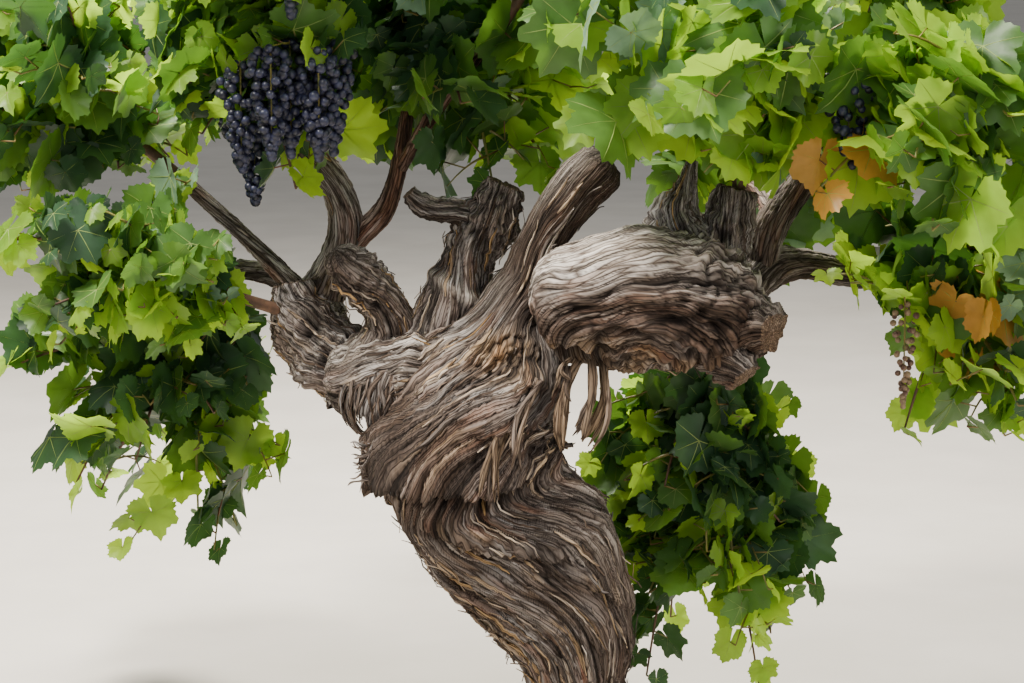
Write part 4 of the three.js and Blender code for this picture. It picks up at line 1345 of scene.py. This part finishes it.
def outward(place):
    """The way out of the crown at a place."""
    return unit((place - CROWN_CENTRE) * [1, 1, 0.3])


def leaf_ways(place, side, random):
    """Which way a leaf faces and hangs: outward and to the sky, with its tip down, as in the solids."""
    out = outward(place)
    jitter = np.array([random() - 0.5 for _ in range(3)]) * LEAF_JITTER
    face = unit(jitter + out * 0.8 + UP * 0.5)
    tip = np.array([0, 0, -0.8]) + side * 0.65 + out * 0.2
    return face, unit(tip - face * (tip @ face))


# The kinds of leaf and of what is on them, by the number of their material. The dark and bright kinds are
# one green in painted shade and in painted sunlight.
DARK_SHADED, MID, BRIGHT_SUNLIT_AND_YOUNG, PALE, AUTUMN, VEIN, STALK = range(7)
TINTS = {  # how likely each kind is in each mass: dark, mid, bright, pale, autumn; masses in shade take more dark leaves, as painted shade, and sunlit masses more bright ones, as painted sunlight
    "left_top": (0.38, 0.43, 0.17, 0.02, 0.0),
    "far_left": (0.4, 0.4, 0.17, 0.03, 0.0),
    "left_droop": (0.24, 0.42, 0.3, 0.04, 0.0),
    "left_hanging": (0.6, 0.35, 0.05, 0.0, 0.0),
    "middle": (0.42, 0.45, 0.1, 0.03, 0.0),
    "centre_front": (0.06, 0.3, 0.54, 0.1, 0.0),
    "right_front": (0.06, 0.36, 0.5, 0.08, 0.0),
    "right_side": (0.15, 0.42, 0.3, 0.1, 0.03),
    "far_right": (0.15, 0.4, 0.35, 0.08, 0.02),
    "low_right": (0.5, 0.42, 0.07, 0.01, 0.0),
    "crown_left": (0.27, 0.45, 0.24, 0.04, 0.0),
    "crown_middle": (0.25, 0.45, 0.26, 0.04, 0.0),
    "crown_right": (0.06, 0.36, 0.5, 0.07, 0.01),
    "back_left": (0.3, 0.45, 0.22, 0.03, 0.0),
    "back_right": (0.3, 0.45, 0.22, 0.03, 0.0),
}
TURNED = (330, -170, 838)  # the sprays near here have turned
TURNED_REACH = 46
YOUNG_FROM = 0.6  # the share of a shoot where its leaves get smaller


def hang_leaf(heap, mass, place, along, hand, size, kind, shapes, rng):
    """One leaf on its stalk, where there is room for it."""
    side = unit(np.cross(along, UP) + 1e-6) * hand
    out = outward(place)
    for _ in range(LEAF_TRIES):
        way = unit(side * 0.8 + out * 0.5 + UP * 0.3 + rng.normal(size=3) * 0.25)
        root = place + way * size * rng.uniform(0.35, 0.7)
        face, tip = leaf_ways(root, side, rng.random)
        across = np.cross(tip, face)
        probe = root + size * np.array([tip * 0.95, tip * 0.45, across * 0.45, -across * 0.45, tip * 0.0])
        if not in_space(mass, probe, LEAF_SLACK).all() or in_the_open(probe) or not clear_of_wood(probe, 5):
            continue
        blade, triangles, veins, vein_triangles = shapes[int(rng.integers(SHAPES))]
        turned = np.stack([across, tip, face])
        heap.add(root + size * blade @ turned, triangles, kind)
        heap.add(root + size * veins @ turned, vein_triangles, VEIN)
        stalk, stalk_triangles = twig(np.array([place, root]), *LEAF_STALK)
        heap.add(stalk, stalk_triangles, STALK)
        return


def dress_shoot(heap, mass, shoot, tints, shapes, rng):
    """Leaves along a shoot, turn and turn about, smaller towards its tip."""
    smaller = SMALLER.get(mass["name"], 1)
    count = max(2, round(shoot["run"] / (LEAF_NODE * smaller)))
    spray = int(rng.choice(5, p=tints))
    if np.linalg.norm(shoot_points(shoot, 0.7) - TURNED) < TURNED_REACH:
        spray = AUTUMN
    for n in range(count + 1):
        t = 0.1 + 0.9 * n / count
        before, place = shoot_points(shoot, [t - 0.04, t])
        along = unit(place - before)
        young = max(0, (t - YOUNG_FROM) / 0.4)
        size = LEAF_SIZE * smaller * rng.uniform(0.72, 1.14) * (1 - 0.42 * young)
        # Young leaves near a tip take the bright green as their own lighter colour.
        kind = BRIGHT_SUNLIT_AND_YOUNG if young > 0.5 and spray in (DARK_SHADED, MID) and rng.random() < 0.4 else spray
        hang_leaf(heap, mass, place, along, 1 if n % 2 else -1, size, kind, shapes, rng)


# Grapes

def round_berry():
    """A small round mesh: its points and triangles."""
    ball = bmesh.new()
    bmesh.ops.create_icosphere(ball, subdivisions=2, radius=1)
    points = np.array([v.co for v in ball.verts])
    triangles = np.array([[v.index for v in f.verts] for f in ball.faces])
    ball.free()
    return points, triangles


BUNCH_SHAPE = ([0, 0.1, 0.3, 0.7, 1], [0.3, 0.95, 1, 0.6, 0.16])  # how wide it is at shares of its length


def bunch(heap, twigs, top, length, radius, count, berry, rng, pick=0, thick=BERRY_RADIUS):
    """A bunch of grapes that hangs from its top. pick is its berries' material, and thick their radius."""
    points, triangles = berry
    for n in range(count):
        at = (n + 0.5) / count
        out = max(0, radius * np.interp(at, *BUNCH_SHAPE) - thick * 0.9)
        angle = n * GOLDEN_TURN + rng.normal() * 0.4
        size = thick * rng.uniform(0.82, 1.08)
        spread = out * rng.uniform(0.75, 1.0)
        low = at * length + rng.uniform(-0.7, 0.7) * thick
        place = top + [spread * math.cos(angle), spread * math.sin(angle), -low]
        heap.add(place + points * size, triangles, pick)
    core = top - UP * np.linspace(-4, length * 0.92, 6)[:, None]
    stalk, stalk_triangles = twig(core, np.linspace(1.5, 0.8, 6), 4)
    twigs.add(stalk, stalk_triangles, 1)


# How many bunches a mass bears, where it isn't one: the solids have the first of them
BUNCHES = {"left_top": 2, "crown_left": 2, "far_left": 2}
BUNCH_APART = 85
BUNCH_SLACK = 20  # how far bunches in sight may hang out of their mass
# The withered bunch by the right arm: where it hangs, its length, radius and berries, and their radius
SPARSE_AT = (416, -60, 668)
SPARSE = (145, 22, 46)
WITHERED_RADIUS = 4.6


def bunch_fits(mass, top, others, apart, slack=0.0):
    """True where a bunch has room to hang from a place, apart from the others."""
    line = top - UP * np.linspace(20, BUNCH_LENGTH, 4)[:, None]
    lonely = all(np.linalg.norm(top - other) > apart for other in others)
    return lonely and in_space(mass, line, slack).all() and clear_of_wood(line, BUNCH_RADIUS)


def bunch_tops(mass, shoots):
    """Where the solids' rule hangs the mass's bunches."""
    tops = []
    wanted = 0 if mass["name"] in BARREN else BUNCHES.get(mass["name"], 1)
    for shoot, at in itertools.product(shoots, (0.35, 0.6)):
        top = shoot_points(shoot, at)
        if len(tops) < wanted and bunch_fits(mass, top, tops, BUNCH_APART):
            tops.append(top)
    return tops


def bunches_in_sight(grown, tops):
    """The places nearest to the fruitful ones where a bunch can hang, apart from the tops in use."""
    shares = (0.2, 0.35, 0.5, 0.65, 0.8, 0.95)
    places = [(mass, shoot_points(shoot, t)) for mass, shoot in grown for t in shares]
    more = []
    for wanted in FRUITFUL:
        for mass, top in sorted(places, key=lambda place: np.linalg.norm(place[1] - wanted)):
            if bunch_fits(mass, top, tops + more, BUNCH_APART * 0.5, BUNCH_SLACK):
                more.append(top)
                break
    return more


GROUPS = {  # which masses' leaves are joined into a piece
    "leaves_far_left": ("far_left", "left_droop"),
    "leaves_left": ("left_top", "left_hanging", "back_left"),
    "leaves_middle": ("middle", "centre_front", "crown_middle"),
    "leaves_crown": ("crown_left", "crown_right"),
    "leaves_right": ("right_front", "back_right"),
    "leaves_far_right": ("far_right", "right_side"),
    "leaves_low": ("low_right",),
}
SOLIDS_SEED = 1000  # as in the solids, of the first mass, and a step to the next
SOLIDS_STEP = 77
MASS_SEED = 500
BUNCH_SEED = 77
STEM_RINGS = 12
STEM_SIDES = 8
STEM_FOOT = 9.5  # a stem's radius at its foot, and how much it tapers
STEM_TAPER = 4.0
MAIN_SHOOT = (9, 6, 4.2, 1.5)  # a shoot's rings and sides, and its radius at its foot and tip
SIDE_SHOOT = (6, 4, 2.2, 1.0)
BROWN_SHARE = 0.7  # how many main shoots are brown


def grow_foliage(leaf_materials, cane_materials, berry_materials):
    """Every mass's stem, shoots, leaves and grapes."""
    shapes = [leaf_shape(n) for n in range(SHAPES)]
    berry = round_berry()
    twigs = Heap()
    berries = Heap()
    heaps = {group: Heap() for group in GROUPS}
    sparse_top = None
    tops = []
    grown = []
    for number, mass in enumerate(MASSES):
        random = seeded(SOLIDS_SEED + number * SOLIDS_STEP)
        rng = np.random.default_rng(MASS_SEED + number)
        mass["stem"] = stem_of(mass)
        heap = next(heaps[group] for group, names in GROUPS.items() if mass["name"] in names)
        t = np.linspace(0, 1, STEM_RINGS)
        stem, stem_triangles = twig(bezier(*mass["stem"], t), STEM_FOOT - STEM_TAPER * t, STEM_SIDES)
        twigs.add(stem, stem_triangles, 0)
        shoots = [grow_shoot(mass, order, random) for order in range(SHOOTS + finer_shoots(mass))]
        shoots = [shoot for shoot in shoots if shoot]
        side = [small for shoot in shoots for small in side_shoots(mass, shoot, rng)]
        tints = np.array(TINTS[mass["name"]])
        for order, shoot in enumerate(shoots + side):
            main = order < len(shoots)
            rings, sides, foot, tip = MAIN_SHOOT if main else SIDE_SHOOT
            places = shoot_points(shoot, np.linspace(0, 1, rings))
            points, triangles = twig(places, np.linspace(foot, tip, rings), sides)
            twigs.add(points, triangles, 0 if main and rng.random() < BROWN_SHARE else 1)
            dress_shoot(heap, mass, shoot, tints / tints.sum(), shapes, rng)
        grown += [(mass, shoot) for shoot in shoots + side if mass["name"] not in BARREN]
        tops += bunch_tops(mass, shoots)
        if mass["name"] == "right_side":
            t = np.linspace(0.2, 1, 12)
            places = np.concatenate([shoot_points(shoot, t) for shoot in shoots + side])
            sparse_top = places[np.linalg.norm(places - SPARSE_AT, axis=1).argmin()]
    rng = np.random.default_rng(BUNCH_SEED)
    for top in tops + bunches_in_sight(grown, tops):
        bunch(berries, twigs, top, BUNCH_LENGTH, BUNCH_RADIUS, BERRIES, berry, rng)
    bunch(berries, twigs, sparse_top, *SPARSE, berry, rng, 1, WITHERED_RADIUS)
    for group, heap in heaps.items():
        heap.piece(group, leaf_materials, "foliage", ["foliage_" + name for name in GROUPS[group]])
    twigs.piece("shoots", cane_materials, "foliage")
    berries.piece("grapes", berry_materials, "foliage")


# Materials

class Nodes:
    """A material under construction."""

    def __init__(self, name):
        self.material = bpy.data.materials.new(name)
        self.material.use_nodes = True
        self.tree = self.material.node_tree
        self.shader = self.tree.nodes["Principled BSDF"]
        self.output = self.tree.nodes["Material Output"]

    def fill(self, node, **inputs):
        """Sets a node's inputs to numbers and colours, or links them to what other nodes give."""
        for name, value in inputs.items():
            socket = node.inputs[name.replace("_", " ")]
            if isinstance(value, bpy.types.NodeSocket):
                self.tree.links.new(value, socket)
            else:
                socket.default_value = value
        return node

    def node(self, kind, **inputs):
        return self.fill(self.tree.nodes.new(kind), **inputs)


def times(made, one, *others):
    """Colours multiplied."""
    for other in others:
        both = made.node("ShaderNodeMix")
        both.data_type = "RGBA"
        both.blend_type = "MULTIPLY"
        one = made.fill(both, Factor=1.0, A=one, B=other).outputs["Result"]
    return one


def ramp(made, source, low, high):
    """A colour that runs from low to high. Each is a place and a colour."""
    made_ramp = made.node("ShaderNodeValToRGB", Fac=source)
    for element, (place, tint) in zip(made_ramp.color_ramp.elements, (low, high)):
        element.position = place
        element.color = (*tint, 1)
    return made_ramp.outputs["Color"]


def attribute(made, name):
    """A node that reads what each point of the mesh carries."""
    node = made.node("ShaderNodeAttribute")
    node.attribute_name = name
    return node


def bark_material():
    """Weathered bark: each place's colour, split into fibres with cracks between them and fine streaks."""
    made = Nodes("bark")
    tone = attribute(made, "tone").outputs["Color"]
    fibre = attribute(made, "fibre").outputs["Vector"]
    place = made.node("ShaderNodeMapping", Vector=fibre, Scale=(0.24, 0.24, 0.019)).outputs["Vector"]
    along = made.node("ShaderNodeMapping", Vector=fibre, Scale=(0.75, 0.75, 0.05)).outputs["Vector"]
    edge = made.node("ShaderNodeTexVoronoi", Vector=place, Scale=1.0)
    edge.feature = "DISTANCE_TO_EDGE"
    cell = made.node("ShaderNodeTexVoronoi", Vector=place, Scale=1.0)
    streaks = made.node("ShaderNodeTexNoise", Vector=along, Scale=1.0, Detail=4.0, Roughness=0.65)
    streak = streaks.outputs["Fac"]
    crack = ramp(made, edge.outputs["Distance"], (0.0, (0.24, 0.2, 0.18)), (0.13, (1, 1, 1)))
    own = ramp(made, cell.outputs["Color"], (0.15, (0.66, 0.6, 0.55)), (0.85, (1.3, 1.28, 1.26)))
    fine = ramp(made, streak, (0.32, (0.62, 0.58, 0.55)), (0.68, (1.24, 1.22, 1.2)))
    split = made.node("ShaderNodeBump", Strength=0.9, Distance=0.0016, Height=crack).outputs["Normal"]
    hairs = made.node("ShaderNodeBump", Strength=0.6, Distance=0.0009, Height=streak, Normal=split)
    made.fill(made.shader, Base_Color=times(made, tone, crack, own, fine), Normal=hairs.outputs["Normal"])
    made.fill(made.shader, Roughness=0.86, Specular_IOR_Level=0.25)
    return made.material


def leaf_material(name, base, glow, translucence, roughness):
    """A leaf: a mottled, slightly waxy face that lets light through."""
    made = Nodes(name)
    place = made.node("ShaderNodeTexCoord").outputs["Object"]
    spots = made.node("ShaderNodeTexNoise", Vector=place, Scale=38.0, Detail=3.0, Roughness=0.55)
    mottle = spots.outputs["Fac"]
    tint = ramp(made, mottle, (0.3, base * 0.72), (0.72, base * 1.25))
    bump = made.node("ShaderNodeBump", Strength=0.35, Distance=0.0015, Height=mottle).outputs["Normal"]
    made.fill(made.shader, Base_Color=tint, Roughness=roughness, Specular_IOR_Level=0.4, Normal=bump)
    through = made.node("ShaderNodeBsdfTranslucent", Color=(*glow, 1))
    both = made.node("ShaderNodeMixShader", Fac=translucence)
    made.tree.links.new(made.shader.outputs["BSDF"], both.inputs[1])
    made.tree.links.new(through.outputs["BSDF"], both.inputs[2])
    made.fill(made.output, Surface=both.outputs["Shader"])
    return made.material


def plain_material(name, low, high, scale, roughness):
    """Two colours that mingle in cloudy patches."""
    made = Nodes(name)
    place = made.node("ShaderNodeTexCoord").outputs["Object"]
    cloud = made.node("ShaderNodeTexNoise", Vector=place, Scale=scale, Detail=3.0, Roughness=0.6)
    tint = ramp(made, cloud.outputs["Fac"], (0.38, colour(*low)), (0.66, colour(*high)))
    made.fill(made.shader, Base_Color=tint, Roughness=roughness)
    return made.material


# The leaves' materials: the colour, that of the light through them, how much of it there is, the roughness
# The dark and bright leaves are the same green in painted shade and in painted sunlight.
LEAF_KINDS = [
    ("leaf_dark_shaded", (48, 76, 50), (78, 124, 38), 0.3, 0.42),
    ("leaf_mid", (78, 112, 54), (122, 170, 46), 0.4, 0.42),
    ("leaf_sunlit_and_young", (120, 156, 52), (196, 238, 62), 0.54, 0.42),
    ("leaf_pale", (118, 148, 122), (142, 178, 98), 0.3, 0.6),
    ("leaf_autumn", (188, 136, 64), (226, 170, 70), 0.42, 0.42),
    ("leaf_vein", (150, 170, 90), (190, 205, 90), 0.35, 0.5),
]
# Plain materials: the two colours, how fine their patches are, and the roughness
STALKS = [("leaf_stalk", (120, 76, 52), (140, 140, 66), 30, 0.5)]
CANE_KINDS = [
    ("cane_brown", (76, 54, 42), (110, 80, 60), 60, 0.7),
    ("cane_green", (104, 110, 48), (140, 120, 62), 60, 0.5),
]
BERRY_KINDS = [
    ("grape", (18, 18, 32), (54, 57, 84), 90, 0.4),
    ("grape_withered", (82, 50, 48), (150, 128, 96), 70, 0.6),
]


def plain_materials(kinds):
    return [plain_material(*kind) for kind in kinds]


def leaf_materials():
    """The materials of the leaves in the order of their numbers."""
    leaves = [
        leaf_material(name, colour(*base), colour(*glow), translucence, roughness)
        for name, base, glow, translucence, roughness in LEAF_KINDS
    ]
    return leaves + plain_materials(STALKS)


# Light, floor and camera

def area_light(name, place, target, size, power, tint):
    """A soft square light that faces a target. Places are metres."""
    data = bpy.data.lights.new(name, "AREA")
    data.size = size
    data.energy = power
    data.color = tint
    lamp = bpy.data.objects.new(name, data)
    lamp.location = place
    lamp.rotation_euler = (Vector(target) - Vector(place)).to_track_quat("-Z", "Y").to_euler()
    bpy.context.scene.collection.objects.link(lamp)


FLOOR_HALF = 60.0
SKY = (0.93, 0.96, 1.0, 1)
SKY_STRENGTH = 0.4
AIM = (-0.05, 0.1, 0.7)  # what the lamps face, in metres
LAMPS = {  # each lamp's place, size, power and colour
    "key": ((-1.5, -1.0, 3.4), 0.6, 290, (1.0, 0.955, 0.88)),
    "back": ((-0.9, 1.9, 3.6), 1.1, 500, (1.0, 0.95, 0.86)),
    "fill": ((0.8, -4.2, 2.4), 3.0, 40, (0.95, 0.97, 1.0)),
    "side": ((3.2, -1.0, 2.4), 1.6, 130, (1.0, 0.97, 0.92)),
}


def studio():
    """A pale floor and soft light: the key is high on the left, and a lamp behind makes the leaves glow."""
    mesh = bpy.data.meshes.new("floor")
    corners = [(FLOOR_HALF * x, FLOOR_HALF * y, 0) for x, y in ((-1, -1), (1, -1), (1, 1), (-1, 1))]
    mesh.from_pydata(corners, [], [(0, 1, 2, 3)])
    floor = bpy.data.objects.new("floor", mesh)
    bpy.context.scene.collection.objects.link(floor)
    mesh.materials.append(plain_material("floor_pale", (186, 180, 170), (194, 188, 178), 3, 0.9))
    for name, (place, size, power, tint) in LAMPS.items():
        area_light(name, place, AIM, size, power, tint)
    world = bpy.data.worlds.new("studio")
    world.use_nodes = True
    background = world.node_tree.nodes["Background"]
    background.inputs["Color"].default_value = SKY
    background.inputs["Strength"].default_value = SKY_STRENGTH
    bpy.context.scene.world = world


CAMERA_PLACE = (-0.11173, -3.95075, 1.21818)
CAMERA_TILT = 81  # degrees up from straight down
SENSOR = 36
SENSOR_SHARE = 0.3584  # of the lens's focal length
CLIP_END = 200


def camera():
    """The photograph's view: a little above the vine's head, looking down at it from the front."""
    data = bpy.data.cameras.new("camera")
    data.sensor_width = SENSOR
    data.lens = SENSOR / SENSOR_SHARE
    data.clip_end = CLIP_END
    made = bpy.data.objects.new("camera", data)
    made.location = CAMERA_PLACE
    made.rotation_euler = (math.radians(CAMERA_TILT), 0, 0)
    bpy.context.scene.collection.objects.link(made)
    bpy.context.scene.camera = made


camera()
studio()
bark = bark_material()
skins = cover_with_bark(bark)
peeling_strips(skins, bark)
grow_foliage(leaf_materials(), plain_materials(CANE_KINDS), plain_materials(BERRY_KINDS))
